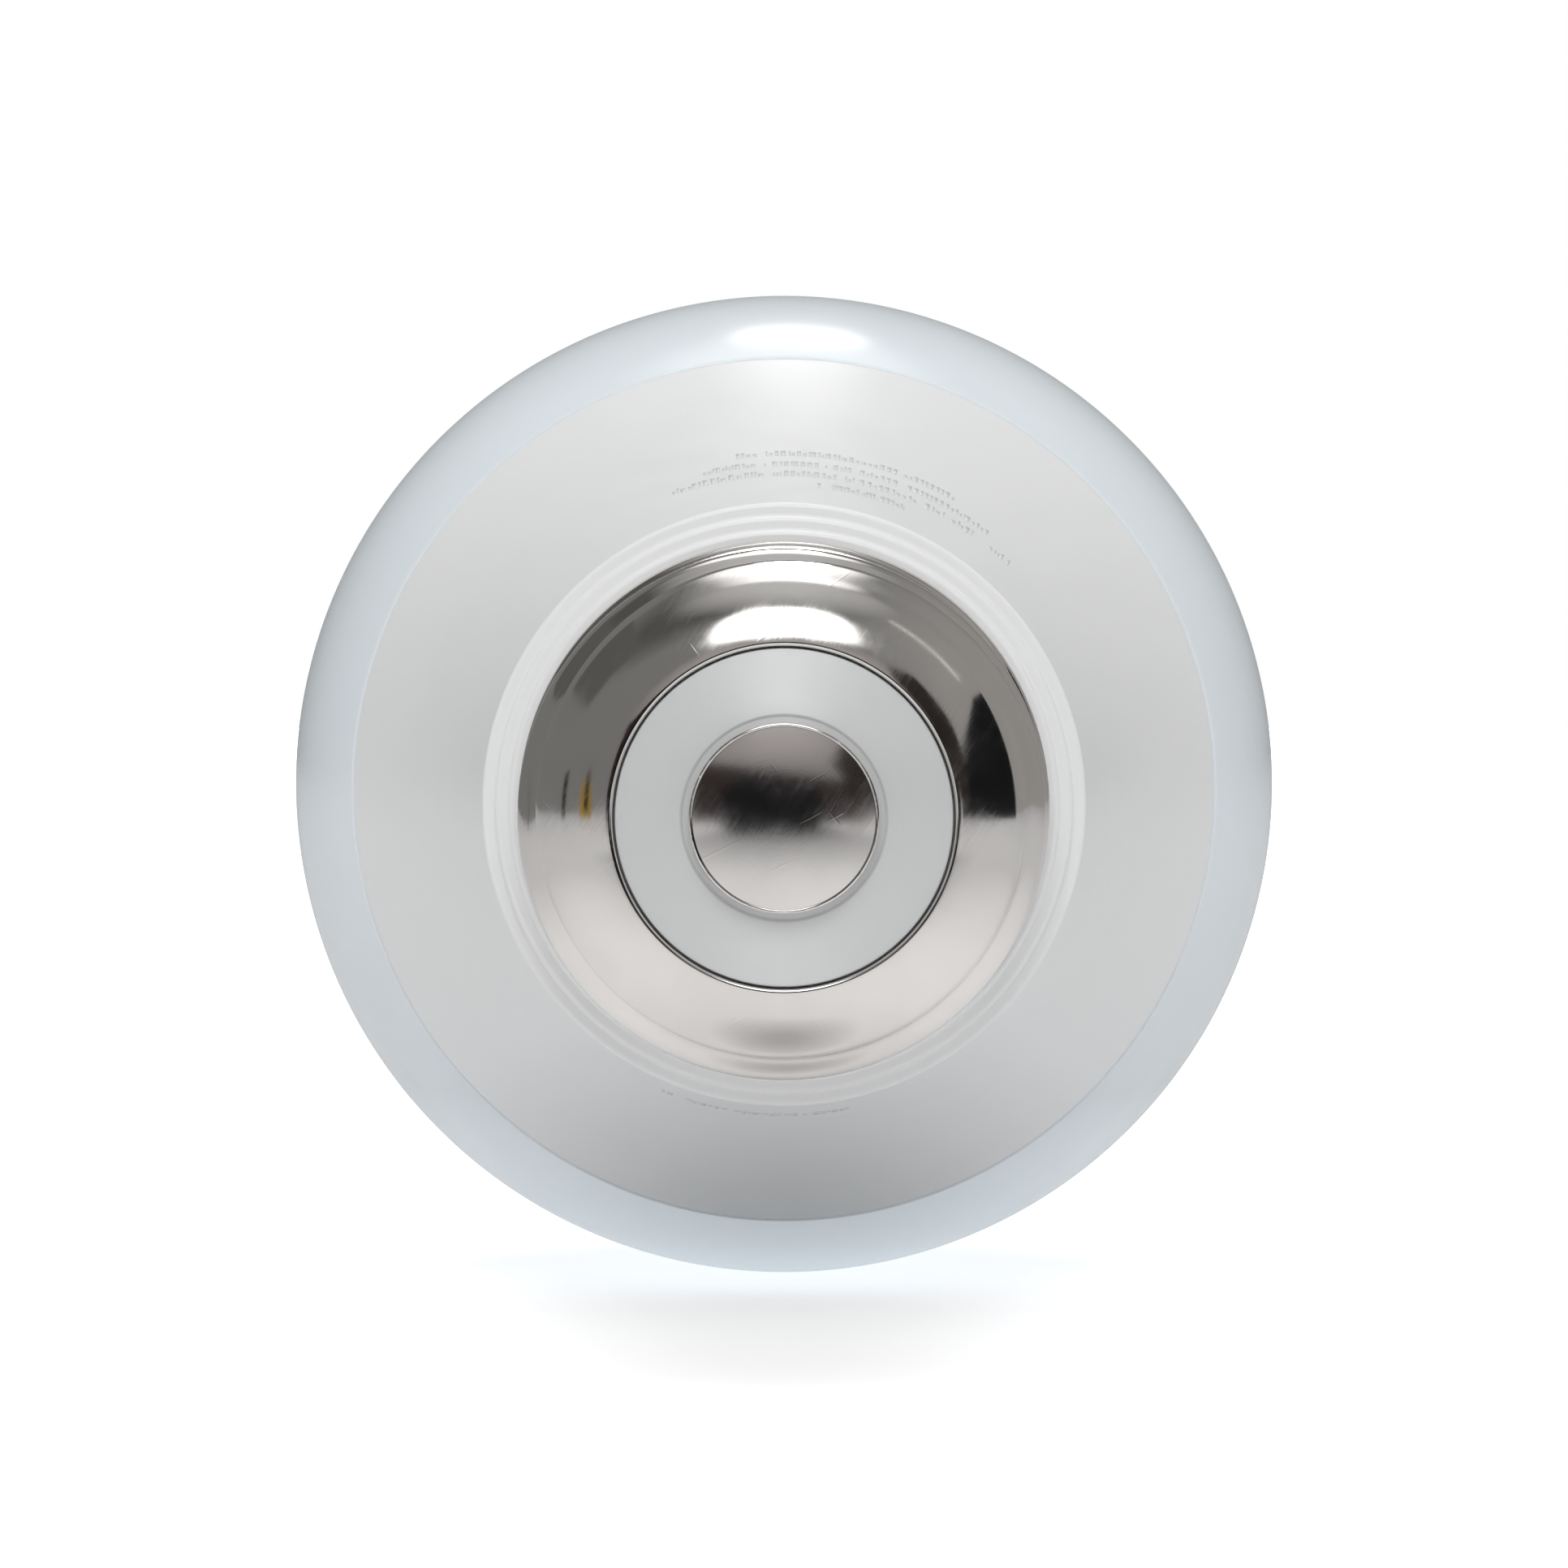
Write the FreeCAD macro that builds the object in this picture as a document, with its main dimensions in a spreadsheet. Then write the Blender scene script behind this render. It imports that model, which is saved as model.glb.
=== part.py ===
"""LED light bulb with an E27 Edison screw cap, as the separate pieces it is assembled from.

Frame, in millimetres: the bulb lies level along +Y. The origin is the tip of the centre contact, on the
bulb's axis, +Y runs from the cap to the crown of the diffuser, and +Z is up.
A turned piece is drawn as an outline of (radius, place along the axis) corners and revolved about Y.
"""

import FreeCAD
import Part
import math
import os
import types

import Sketcher

Vector = FreeCAD.Vector
Rotation = FreeCAD.Rotation

# Driving dimensions: name, value and meaning. Each one becomes a cell of the sheet with that alias.
DRIVING_SIZES = [
    ("bulb_length", 110.0, "tip of the centre contact to the crown of the diffuser"),
    ("bulb_diameter", 60.0, "widest diameter, across the diffuser"),
    ("joint_angle", 32.0, "how far below the widest circle the diffuser meets the housing, degrees"),
    ("diffuser_wall", 1.2, "wall of the opal diffuser"),
    ("housing_wall", 1.2, "wall of the plastic housing"),
    ("flare_radius", 140.0, "radius of the hollow curve of the housing's side"),
    ("collar_rise", 0.65, "how far the collar's first step stands out past the skirt of the cap"),
    ("collar_widening", 0.75, "how much wider each further step of the collar is, on the radius"),
    ("collar_length", 4.0, "top edge of the cap to the foot of the flare"),
    ("collar_step", 0.8, "length of each of those two steps"),
    ("collar_round", 0.25, "chamfer on the collar's edges"),
    ("cap_length", 26.0, "tip of the centre contact to the top edge of the screw shell"),
    ("thread_diameter", 26.3, "diameter over the crests of the thread"),
    ("thread_pitch", 3.629, "pitch of the thread, 7 turns to the inch"),
    ("thread_depth", 0.9, "crest to root of the thread"),
    ("thread_lead", 4.4, "first trace of the thread's groove to the end of the shoulder"),
    ("thread_deepening", 2.6, "length over which the groove deepens to its full depth"),
    ("thread_start_angle", 298.0, "angle at which a crest meets the end of the shoulder, from +Z towards +X"),
    ("shell_wall", 0.35, "sheet thickness of the screw shell"),
    ("shoulder_round", 6.1, "radius of the rounded bottom of the shell"),
    ("shoulder_width", 4.8, "crests of the thread in to the lip of the hole in the bottom of the shell"),
    ("lip_place", 1.9, "tip of the contact to the lip of that hole"),
    ("skirt_overhang", 0.65, "how far the skirt stands out past the crests of the thread"),
    ("skirt_length", 3.9, "length of the skirt"),
    ("contact_radius", 4.6, "radius of the head of the centre contact"),
    ("contact_dome", 0.6, "height of the dome of the head"),
    ("contact_rim", 1.1, "height of the rim of the head"),
    ("shank_radius", 1.2, "radius of the shank of the centre contact"),
    ("shank_length", 5.9, "length of that shank"),
    ("insulator_proud", 0.5, "how far the insulator's face stands out of the shell's lip"),
    ("recess_gap", 0.3, "width of the recess round the contact's head"),
    ("recess_draft", 0.1, "how much wider that recess is at the face"),
    ("insulator_edge", 0.2, "chamfer on the edge of the insulator's face"),
    ("flange_grip", 1.65, "how far the insulator's flange reaches behind the shell's lip"),
    ("insulator_back", 5.0, "place of the back of the insulator"),
    ("hub_radius", 3.2, "radius of the insulator's hub"),
    ("hub_length", 2.0, "length of that hub"),
    ("fit_gap", 0.1, "clearance between pieces that fit into each other"),
    ("neck_wall", 1.3, "wall of the plug that the shell is crimped on"),
    ("plug_length", 14.0, "length of that plug inside the shell"),
    ("neutral_tuck", 7.2, "length of the neutral lead that lies under the shell"),
    ("rim_depth", 5.1, "joint to the underside of the heat sink's plate"),
    ("cup_wall", 0.8, "wall of the heat sink cup"),
    ("cup_gap", 0.3, "open end of the cup to the floor of the housing"),
    ("plate_thickness", 1.2, "plate of the heat sink cup"),
    ("plate_hole", 5.0, "radius of the hole in the middle of the plate"),
    ("pad_thickness", 0.3, "thermal pad"),
    ("led_board_thickness", 1.0, "aluminium LED board"),
    ("glue_gap", 0.6, "gap between diffuser lip and housing for the adhesive"),
    ("bead_setback", 0.3, "adhesive bead to the joint"),
    ("seat_gap", 0.15, "rim of the housing to the diffuser's flange"),
    ("lip_wall", 1.1, "wall of the diffuser's lip"),
    ("board_gap", 0.3, "gap between the LED board and the diffuser's lip"),
    ("pad_hole_gap", 0.3, "play of a board screw in the thermal pad"),
    ("board_hole_gap", 0.2, "play of a board screw in the LED board"),
    ("led_count", 12.0, "number of LEDs"),
    ("led_inset", 4.4, "edge of the LED board to the circle of LEDs"),
    ("led_length", 3.5, "LED package, along the circle"),
    ("led_width", 2.8, "LED package, across the circle"),
    ("led_height", 0.7, "LED package"),
    ("led_well", 0.35, "depth of the well of phosphor in the package"),
    ("led_well_wall", 0.35, "wall round that well"),
    ("screw_offset", 0.183, "middle between the socket and the LEDs out to each board screw"),
    ("screw_length", 6.0, "length of the shank of a board screw"),
    ("screw_radius", 1.2, "radius of that shank"),
    ("screw_head", 2.3, "radius of the head of a board screw"),
    ("screw_head_height", 1.6, "height of that head"),
    ("screw_boss", 2.2, "radius of the drawn collar that a board screw bites in"),
    ("screw_boss_height", 2.4, "height of that collar"),
    ("driver_start", 19.0, "place of the cap end of the driver board"),
    ("driver_clearance", 4.0, "LED end of the driver board to the heat sink's plate"),
    ("driver_thickness", 1.2, "driver board"),
    ("driver_drop", 1.25, "axis of the bulb down to the top of the driver board"),
    ("driver_widening", 3.5, "foot of the flare to where the driver board widens"),
    ("live_hole_inset", 1.6, "cap end of the driver board to the live lead's hole"),
    ("neutral_hole_spacing", 1.8, "live lead's hole to the neutral lead's hole, along the board"),
    ("neutral_hole_inset", 2.2, "side of the driver board to the neutral lead's hole"),
    ("guide_lead", 1.0, "how far the guide ribs start before the board"),
    ("guide_length", 10.0, "length of the guide ribs in the neck"),
    ("guide_height", 1.0, "thickness of a guide rib"),
    ("guide_overlap", 1.2, "how far a guide rib reaches over the edge of the board"),
    ("resistor_radius", 1.75, "fusible resistor"),
    ("resistor_length", 8.4, "fusible resistor"),
    ("resistor_gap", 1.0, "shank of the centre contact to the fusible resistor"),
    ("resistor_cap", 1.848, "length of each end cap of the fusible resistor"),
    ("resistor_waist", 1.54, "radius between those end caps"),
    ("resistor_edge", 0.4, "slope on the edges of those end caps"),
    ("sleeve_wall", 0.3, "wall of the resistor's sleeve"),
    ("sleeve_overhang", 0.4, "how far the sleeve reaches past the resistor"),
    ("lead_radius", 0.3, "wire lead"),
    ("thin_lead_radius", 0.255, "leads of the smoothing capacitors and the neutral lead"),
    ("lead_bend", 0.8, "bend of a wire lead at its middle line"),
    ("input_capacitor_radius", 4.0, "smoothing capacitor at the input"),
    ("input_capacitor_length", 12.5, "smoothing capacitor at the input"),
    ("input_capacitor_inset", 0.7, "middle of the board to the side of that capacitor"),
    ("input_capacitor_start", 4.0, "cap end of the driver board to its bung"),
    ("output_capacitor_radius", 3.15, "smoothing capacitor at the output"),
    ("output_capacitor_length", 9.0, "smoothing capacitor at the output"),
    ("output_capacitor_inset", 2.5, "middle of the board to the side of that capacitor"),
    ("output_margin", 5.0, "LED end of the driver board to its bung and to the choke"),
    ("bung_lead", 1.3, "bung of a smoothing capacitor to the bend of its leads"),
    ("stand_off", 0.4, "top of the board to the film capacitor, surge absorber and choke"),
    ("film_inset", 1.3, "middle of the board to the film capacitor and the surge absorber"),
    ("film_start", 5.2, "cap end of the driver board to the film capacitor"),
    ("choke_radius", 4.4, "drum core of the choke"),
    ("choke_height", 8.0, "drum core of the choke"),
    ("choke_flange", 1.2, "thickness of the flanges of the core"),
    ("choke_post", 1.98, "radius of the core between its flanges"),
    ("choke_winding_radius", 3.96, "outer radius of the winding"),
    ("choke_lead_spread", 3.08, "axis of the choke to each of its leads"),
    ("choke_inset", 1.5, "middle of the board to the side of the choke"),
    ("varistor_radius", 3.5, "surge absorber disc"),
    ("varistor_thickness", 3.0, "surge absorber disc"),
    ("varistor_edge", 0.4, "chamfer on the edges of that disc"),
    ("varistor_lead_spread", 2.45, "middle of that disc to each of its leads"),
    ("varistor_gap", 1.4, "film capacitor to that disc"),
    ("pin_side", 0.64, "side of an output pin"),
    ("pin_spacing", 2.54, "output pin to output pin"),
    ("header_length", 2.5, "pin header, along the board"),
    ("socket_height", 2.8, "socket on the LED board"),
    ("solder_foot", 0.8, "radius of a solder joint at the board"),
    ("solder_tip", 0.35, "radius of a solder joint at its tip"),
    ("solder_height", 0.8, "height of a solder joint"),
]

# Standard packages on the driver board: size along X, Y and Z.
FILM_CAPACITOR = (7.0, 3.6, 5.6)
BRIDGE_RECTIFIER = (3.8, 4.7, 1.6)
DRIVER_CHIP = (3.9, 4.9, 1.5)
OUTPUT_DIODE = (2.6, 4.3, 2.0)
CHIP_RESISTOR = (2.0, 1.25, 0.5)
CHIP_CAPACITOR = (2.0, 1.25, 0.9)
PACKAGE_PIN = (0.9, 0.45, 0.8)
DIODE_TAB = (1.6, 0.5, 1.0)

# Where they sit under the board: X, and the distance along Y from the board's cap end.
RECTIFIER_PLACE = (-5.5, 4.8)
CHIP_PLACE = (-5.0, 15.0)
DIODE_PLACE = (3.5, 17.0)
RESISTOR_PLACE, RESISTOR_SPACING, RESISTOR_COUNT = (3.8, 3.4), 2.1, 6
# The chip capacitors stand across the board instead, this far from its LED end.
CAPACITOR_PLACE, CAPACITOR_SPACING, CAPACITOR_COUNT = (-1.5, 4.5), 3.3, 3

# Shapes of bought parts. A can and a screw head are in shares of their radius.
CAN_EDGE, CAN_TOP_EDGE = 0.1, 0.08
CAN_GROOVE, CAN_GROOVE_HALF, CAN_GROOVE_DEPTH = 0.4, 0.08, 0.07
CAN_LEAD_SPREAD = 0.45
SCREW_CROWN, RECESS_REACH, RECESS_HALF = 0.7, 0.55, 0.12
FILM_LEAD_SHARES = (0.15, 0.85)
# The socket's length and width in pin spacings, and the width of the LED board's slot in pins.
SOCKET_LENGTH, SOCKET_WIDTH, SLOT_WIDTH = 2.6, 1.6, 3

TOUCH_TOLERANCE = 1e-4

doc = FreeCAD.newDocument("led_bulb")
kept_pieces = []


class Size(float):
    """A number that also carries the expression which gives it from the sheet."""

    def __new__(cls, value, text):
        size = super().__new__(cls, value)
        size.text = text
        return size

    def __add__(self, other):
        return Size(float(self) + float(other), f"({self.text} + {text_of(other)})")

    def __radd__(self, other):
        return Size(float(other) + float(self), f"({text_of(other)} + {self.text})")

    def __sub__(self, other):
        return Size(float(self) - float(other), f"({self.text} - {text_of(other)})")

    def __rsub__(self, other):
        return Size(float(other) - float(self), f"({text_of(other)} - {self.text})")

    def __mul__(self, other):
        return Size(float(self) * float(other), f"({self.text} * {text_of(other)})")

    __rmul__ = __mul__

    def __truediv__(self, other):
        return Size(float(self) / float(other), f"({self.text} / {text_of(other)})")


def text_of(number):
    """The expression of a size, or a plain number written out."""
    return number.text if isinstance(number, Size) else f"{float(number):.9f}"


def root(size):
    return Size(math.sqrt(size), f"sqrt({size.text})")


def sine(angle):
    return Size(math.sin(math.radians(angle)), f"sin({angle.text})")


def cosine(angle):
    return Size(math.cos(math.radians(angle)), f"cos({angle.text})")


def make_sheet():
    """Fills the sheet and returns each driving dimension as a Size, by name."""
    sheet = doc.addObject("Spreadsheet::Sheet", "Sizes")
    for row, (name, value, meaning) in enumerate(DRIVING_SIZES, start=1):
        sheet.set(f"A{row}", name)
        sheet.set(f"B{row}", str(value))
        sheet.set(f"C{row}", meaning)
        sheet.setAlias(f"B{row}", name)
    doc.recompute()
    return types.SimpleNamespace(
        **{name: Size(float(sheet.get(name)), f"Sizes.{name}") for name, _, _ in DRIVING_SIZES}
    )


d = make_sheet()
derived = doc.addObject("App::VarSet", "Derived")


def derive(name, size):
    """Stores a worked-out size under a name of its own, bound to the sheet."""
    derived.addProperty("App::PropertyFloat", name)
    derived.setExpression(name, size.text)
    return Size(float(size), f"Derived.{name}")


# ---- sizes that follow from the driving dimensions --------------------------------------------------

# the outer shape
bulb_radius = derive("bulb_radius", d.bulb_diameter / 2)
dome_centre = derive("dome_centre", d.bulb_length - bulb_radius)
rim_radius = derive("rim_radius", bulb_radius * cosine(d.joint_angle))
joint = derive("joint", dome_centre - bulb_radius * sine(d.joint_angle))
flare_foot = derive("flare_foot", d.cap_length + d.collar_length)
crest_radius = derive("crest_radius", d.thread_diameter / 2)
skirt_radius = derive("skirt_radius", crest_radius + d.skirt_overhang)
collar_foot = derive("collar_foot", skirt_radius + d.collar_rise)
collar_radius = derive("collar_radius", collar_foot + d.collar_widening)
neck_radius = derive("neck_radius", collar_radius + d.collar_widening)

# centre of the arc of the flare, which passes through the foot of the flare and the rim
flare_rise = derive("flare_rise", joint - flare_foot)
flare_spread = derive("flare_spread", rim_radius - neck_radius)
flare_chord = derive("flare_chord", root(flare_rise * flare_rise + flare_spread * flare_spread))
flare_height = derive(
    "flare_height", root(d.flare_radius * d.flare_radius - flare_chord * flare_chord / 4)
)
flare_centre_radius = derive(
    "flare_centre_radius",
    (rim_radius + neck_radius) / 2 + flare_height * flare_rise / flare_chord,
)
flare_centre_place = derive(
    "flare_centre_place", (joint + flare_foot) / 2 - flare_height * flare_spread / flare_chord
)


def flare_at(place, inset):
    """Radius of the flare at a place along the axis, inset by a wall."""
    reach = d.flare_radius + inset
    along = place - flare_centre_place
    return flare_centre_radius - root(reach * reach - along * along)


# the screw shell and what fits in it
root_radius = derive("root_radius", crest_radius - d.thread_depth)
shoulder_centre = derive("shoulder_centre", crest_radius - d.shoulder_round)
lip_radius = derive("lip_radius", crest_radius - d.shoulder_width)
lip_reach = derive("lip_reach", lip_radius - shoulder_centre)
shoulder_top = derive(
    "shoulder_top", d.lip_place + root(d.shoulder_round * d.shoulder_round - lip_reach * lip_reach)
)
skirt_start = derive("skirt_start", d.cap_length - d.skirt_length)
plug_radius = derive("plug_radius", root_radius - d.shell_wall - d.fit_gap)
plug_end = derive("plug_end", d.cap_length - d.plug_length)
plug_skirt = derive("plug_skirt", skirt_radius - d.shell_wall - d.fit_gap)
neck_inside = derive("neck_inside", plug_radius - d.neck_wall)
insulator_face = derive("insulator_face", d.lip_place - d.insulator_proud)
insulator_flange = derive("insulator_flange", lip_radius + d.flange_grip)
head_underside = derive("head_underside", d.contact_dome + d.contact_rim)
shank_end = derive("shank_end", head_underside + d.shank_length)

# the stack at the rim
plate_bottom = derive("plate_bottom", joint - d.rim_depth)
plate_top = derive("plate_top", plate_bottom + d.plate_thickness)
pad_top = derive("pad_top", plate_top + d.pad_thickness)
led_board_top = derive("led_board_top", pad_top + d.led_board_thickness)
bore_radius = derive("bore_radius", flare_at(plate_bottom, d.housing_wall))
cup_inset = derive("cup_inset", d.housing_wall + d.fit_gap)
cup_inner_inset = derive("cup_inner_inset", cup_inset + d.cup_wall)
lip_outside = derive("lip_outside", bore_radius - d.glue_gap)
lip_inside = derive("lip_inside", lip_outside - d.lip_wall)
led_board_radius = derive("led_board_radius", lip_inside - d.board_gap)
led_circle = derive("led_circle", led_board_radius - d.led_inset)
socket_half = derive("socket_half", d.pin_spacing * SOCKET_LENGTH / 2)
led_inner_edge = derive("led_inner_edge", led_circle - d.led_width / 2)
screw_place = derive("screw_place", (socket_half + led_inner_edge) / 2 + d.screw_offset)
floor_place = derive("floor_place", flare_foot + d.housing_wall)

# the driver board
deck = derive("deck", 0 - d.driver_drop)
underside = derive("underside", deck - d.driver_thickness)
driver_end = derive("driver_end", plate_bottom - d.driver_clearance)
driver_half = derive(
    "driver_half", root(neck_inside * neck_inside - underside * underside) - d.fit_gap
)
driver_widens = derive("driver_widens", flare_foot + d.driver_widening)
driver_wide_half = derive(
    "driver_wide_half", flare_at(driver_widens, cup_inner_inset) - d.driver_thickness
)
live_hole = derive("live_hole", d.driver_start + d.live_hole_inset)
neutral_hole = derive("neutral_hole", live_hole + d.neutral_hole_spacing)
neutral_offset = derive("neutral_offset", driver_half - d.neutral_hole_inset)


# ---- ways to make a piece ---------------------------------------------------------------------------


def bind(thing, name, size):
    """Sets a property of an object from a size, through an expression where it has one."""
    if isinstance(size, Size):
        thing.setExpression(name, size.text)
    else:
        setattr(thing, name, float(size))


def put(thing, x, y, z, rotation=None):
    """Places an object, with each coordinate bound to its size."""
    thing.Placement = FreeCAD.Placement(
        Vector(float(x), float(y), float(z)), rotation or Rotation()
    )
    for axis, size in zip("xyz", (x, y, z)):
        if isinstance(size, Size):
            thing.setExpression(f"Placement.Base.{axis}", size.text)


def keep(node, thing):
    """Marks an object as a finished piece, whose label names its file."""
    thing.Label = node
    kept_pieces.append(thing)


def arc_between(start, end, radius, side):
    """The minor arc from start to end, its centre left (+1) or right (-1) of the way there."""
    chord = end - start
    normal = Vector(-chord.y, chord.x, 0).normalize()
    rise = math.sqrt(radius**2 - chord.Length**2 / 4)
    centre = start + chord / 2 + normal * (side * rise)
    first, last = (start, end) if side > 0 else (end, start)
    from_angle, to_angle = (
        math.atan2(point.y - centre.y, point.x - centre.x) for point in (first, last)
    )
    if to_angle < from_angle:
        to_angle += 2 * math.pi
    return Part.ArcOfCircle(Part.Circle(centre, Vector(0, 0, 1), radius), from_angle, to_angle)


def draw_outline(sketch, corners):
    """Draws a closed outline and fixes it to the sheet.

    Each corner is (radius, place), or (radius, place, arc radius, side) where an arc leads to the next.
    """
    start_ends = []
    for index, corner in enumerate(corners):
        following = corners[(index + 1) % len(corners)]
        start = Vector(corner[0], corner[1], 0)
        end = Vector(following[0], following[1], 0)
        if len(corner) == 2:
            sketch.addGeometry(Part.LineSegment(start, end))
            start_ends.append((1, 2))
        else:
            sketch.addGeometry(arc_between(start, end, float(corner[2]), corner[3]))
            start_ends.append((1, 2) if corner[3] > 0 else (2, 1))
    for index, corner in enumerate(corners):
        start_end = start_ends[index][0]
        before = index - 1 if index else len(corners) - 1
        sketch.addConstraint(
            Sketcher.Constraint("Coincident", before, start_ends[before][1], index, start_end)
        )
        for kind, axis_line, size in (("DistanceX", -2, corner[0]), ("DistanceY", -1, corner[1])):
            if float(size) == 0:
                sketch.addConstraint(
                    Sketcher.Constraint("PointOnObject", index, start_end, axis_line)
                )
                continue
            number = sketch.addConstraint(
                Sketcher.Constraint(kind, -1, 1, index, start_end, float(size))
            )
            if isinstance(size, Size):
                sketch.setExpression(f"Constraints[{number}]", size.text)
        if len(corner) > 2:
            number = sketch.addConstraint(Sketcher.Constraint("Radius", index, float(corner[2])))
            sketch.setExpression(f"Constraints[{number}]", corner[2].text)


def turned(name, corners):
    """A body revolved about the Y axis from an outline of (radius, place) corners."""
    body = doc.addObject("PartDesign::Body", name)
    sketch = body.newObject("Sketcher::SketchObject", f"{name}_outline")
    plane = [f for f in body.Origin.OriginFeatures if f.Role == "XY_Plane"][0]
    sketch.AttachmentSupport = [(plane, "")]
    sketch.MapMode = "FlatFace"
    draw_outline(sketch, corners)
    revolution = body.newObject("PartDesign::Revolution", f"{name}_revolution")
    revolution.Profile = sketch
    revolution.ReferenceAxis = (sketch, ["V_Axis"])
    revolution.Angle = 360
    body.Tip = revolution
    return body


def block(name, low, size, rotation=None):
    """A box from its low corner and its size, both (x, y, z)."""
    box = doc.addObject("Part::Box", name)
    for side, length in zip(("Length", "Width", "Height"), size):
        bind(box, side, length)
    put(box, *low, rotation)
    return box


TO_X = Rotation(Vector(0, 1, 0), 90)
TO_Y = Rotation(Vector(1, 0, 0), -90)
TO_Z = Rotation()


def rod(name, foot, radius, length, direction=TO_Y):
    """A cylinder from its foot along +X, +Y or +Z."""
    cylinder = doc.addObject("Part::Cylinder", name)
    bind(cylinder, "Radius", radius)
    bind(cylinder, "Height", length)
    put(cylinder, *foot, direction)
    return cylinder


def fuse(name, pieces):
    fused = doc.addObject("Part::MultiFuse", name)
    fused.Shapes = pieces
    return fused


def group(name, pieces):
    """Separate solids that share one node."""
    compound = doc.addObject("Part::Compound", name)
    compound.Links = pieces
    return compound


def cut(name, base, tools):
    """base with the tools taken away. The tools don't touch each other."""
    tool = tools[0] if len(tools) == 1 else group(f"{name}_tools", tools)
    result = doc.addObject("Part::Cut", name)
    result.Base = base
    result.Tool = tool
    return result


def bent_wire(name, points, radius):
    """A round wire along straight runs joined by tangent bends of lead_bend."""
    bend = float(d.lead_bend)
    edges = []
    here = points[0]
    for before, corner, after in zip(points, points[1:], points[2:]):
        incoming = (corner - before).normalize()
        outgoing = (after - corner).normalize()
        half_turn = incoming.getAngle(outgoing) / 2
        back = bend * math.tan(half_turn)
        enters = corner - incoming * back
        leaves = corner + outgoing * back
        inward = (outgoing - incoming).normalize()
        middle = corner + inward * (bend / math.cos(half_turn) - bend)
        edges.append(Part.LineSegment(here, enters).toShape())
        edges.append(Part.Arc(enters, middle, leaves).toShape())
        here = leaves
    edges.append(Part.LineSegment(here, points[-1]).toShape())
    path = Part.Wire(edges)
    section = Part.Wire(Part.makeCircle(radius, points[0], points[1] - points[0]))
    wire = doc.addObject("Part::Feature", name)
    wire.Shape = path.makePipeShell([section], True, False)
    return wire


# ---- screw shell, insulator and centre contact ------------------------------------------------------


def smooth_step(share):
    """0 to 1 with a level start and end."""
    share = min(1.0, max(0.0, share))
    return share * share * (3 - 2 * share)


def thread_height(turns):
    """Height of the thread above its root, at a number of turns from a crest: two tangent arcs."""
    pitch, depth = float(d.thread_pitch), float(d.thread_depth)
    radius = (depth**2 / 4 + pitch**2 / 16) / depth
    along = abs(turns - round(turns)) * pitch
    if along <= pitch / 4:
        return depth - radius + math.sqrt(radius**2 - along**2)
    return radius - math.sqrt(radius**2 - (pitch / 2 - along) ** 2)


def shell_radius(angle, place, envelope):
    """Outer radius of the shell: its envelope less the thread's groove, widened to the skirt at the end."""
    flare = smooth_step((place - (skirt_start - d.thread_depth)) / d.thread_depth)
    deepens = smooth_step((place - (shoulder_top - d.thread_lead)) / d.thread_deepening)
    fades = 1 - smooth_step((place - (skirt_start - d.thread_pitch)) / (d.thread_pitch / 2))
    turns = (place - shoulder_top) / d.thread_pitch - (angle - math.radians(d.thread_start_angle)) / (
        2 * math.pi
    )
    groove = (d.thread_depth - thread_height(turns) * fades) * deepens
    return envelope - groove + (skirt_radius - root_radius) * flare


def shell_surface(inset):
    """Outer or inner surface of the shell: one B-spline face, closed round the axis."""
    around, steps_per_pitch, shoulder_steps, degree = 40, 16, 22, 3
    lip_angle = math.asin(lip_reach / d.shoulder_round)
    reach = d.shoulder_round - inset
    rings = []
    for step in range(shoulder_steps):
        tilt = lip_angle + (math.pi / 2 - lip_angle) * (step / shoulder_steps)
        rings.append((shoulder_top - reach * math.cos(tilt), shoulder_centre + reach * math.sin(tilt)))
    step_length = d.thread_pitch / steps_per_pitch
    steps = math.ceil((d.cap_length - shoulder_top) / step_length)
    for step in range(steps + 1):
        place = shoulder_top + (d.cap_length - shoulder_top) * step / steps
        rings.append((place, crest_radius - inset))
    poles = []
    for column in range(around):
        angle = 2 * math.pi * column / around
        line = []
        for place, envelope in rings:
            radius = shell_radius(angle, place, envelope)
            line.append(Vector(radius * math.sin(angle), place, radius * math.cos(angle)))
        poles.append(line)
    surface = Part.BSplineSurface()
    surface.buildFromPolesMultsKnots(
        poles,
        [1] * (around + 1),
        [degree + 1] + [1] * (len(rings) - degree - 1) + [degree + 1],
        list(range(around + 1)),
        list(range(len(rings) - degree + 1)),
        True,
        False,
        degree,
        degree,
    )
    return surface.toShape()


def end_circles(face):
    """The two closed edges of a face that is closed round the axis, cap end first."""
    circles = [edge for edge in face.Edges if edge.isClosed()]
    return sorted(circles, key=lambda edge: edge.BoundBox.YMin)


def make_screw_shell():
    """Thin nickel-plated shell: rolled lip, rounded shoulder, Edison thread and plain skirt."""
    outside, inside = shell_surface(0.0), shell_surface(float(d.shell_wall))
    rims = [Part.makeRuledSurface(a, b) for a, b in zip(end_circles(outside), end_circles(inside))]
    skin = Part.makeCompound([outside, inside, *rims])
    skin.sewShape(TOUCH_TOLERANCE)
    shell = doc.addObject("Part::Feature", "screw_shell")
    shell.Shape = Part.Solid(skin)
    keep("screw_shell", shell)


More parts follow.
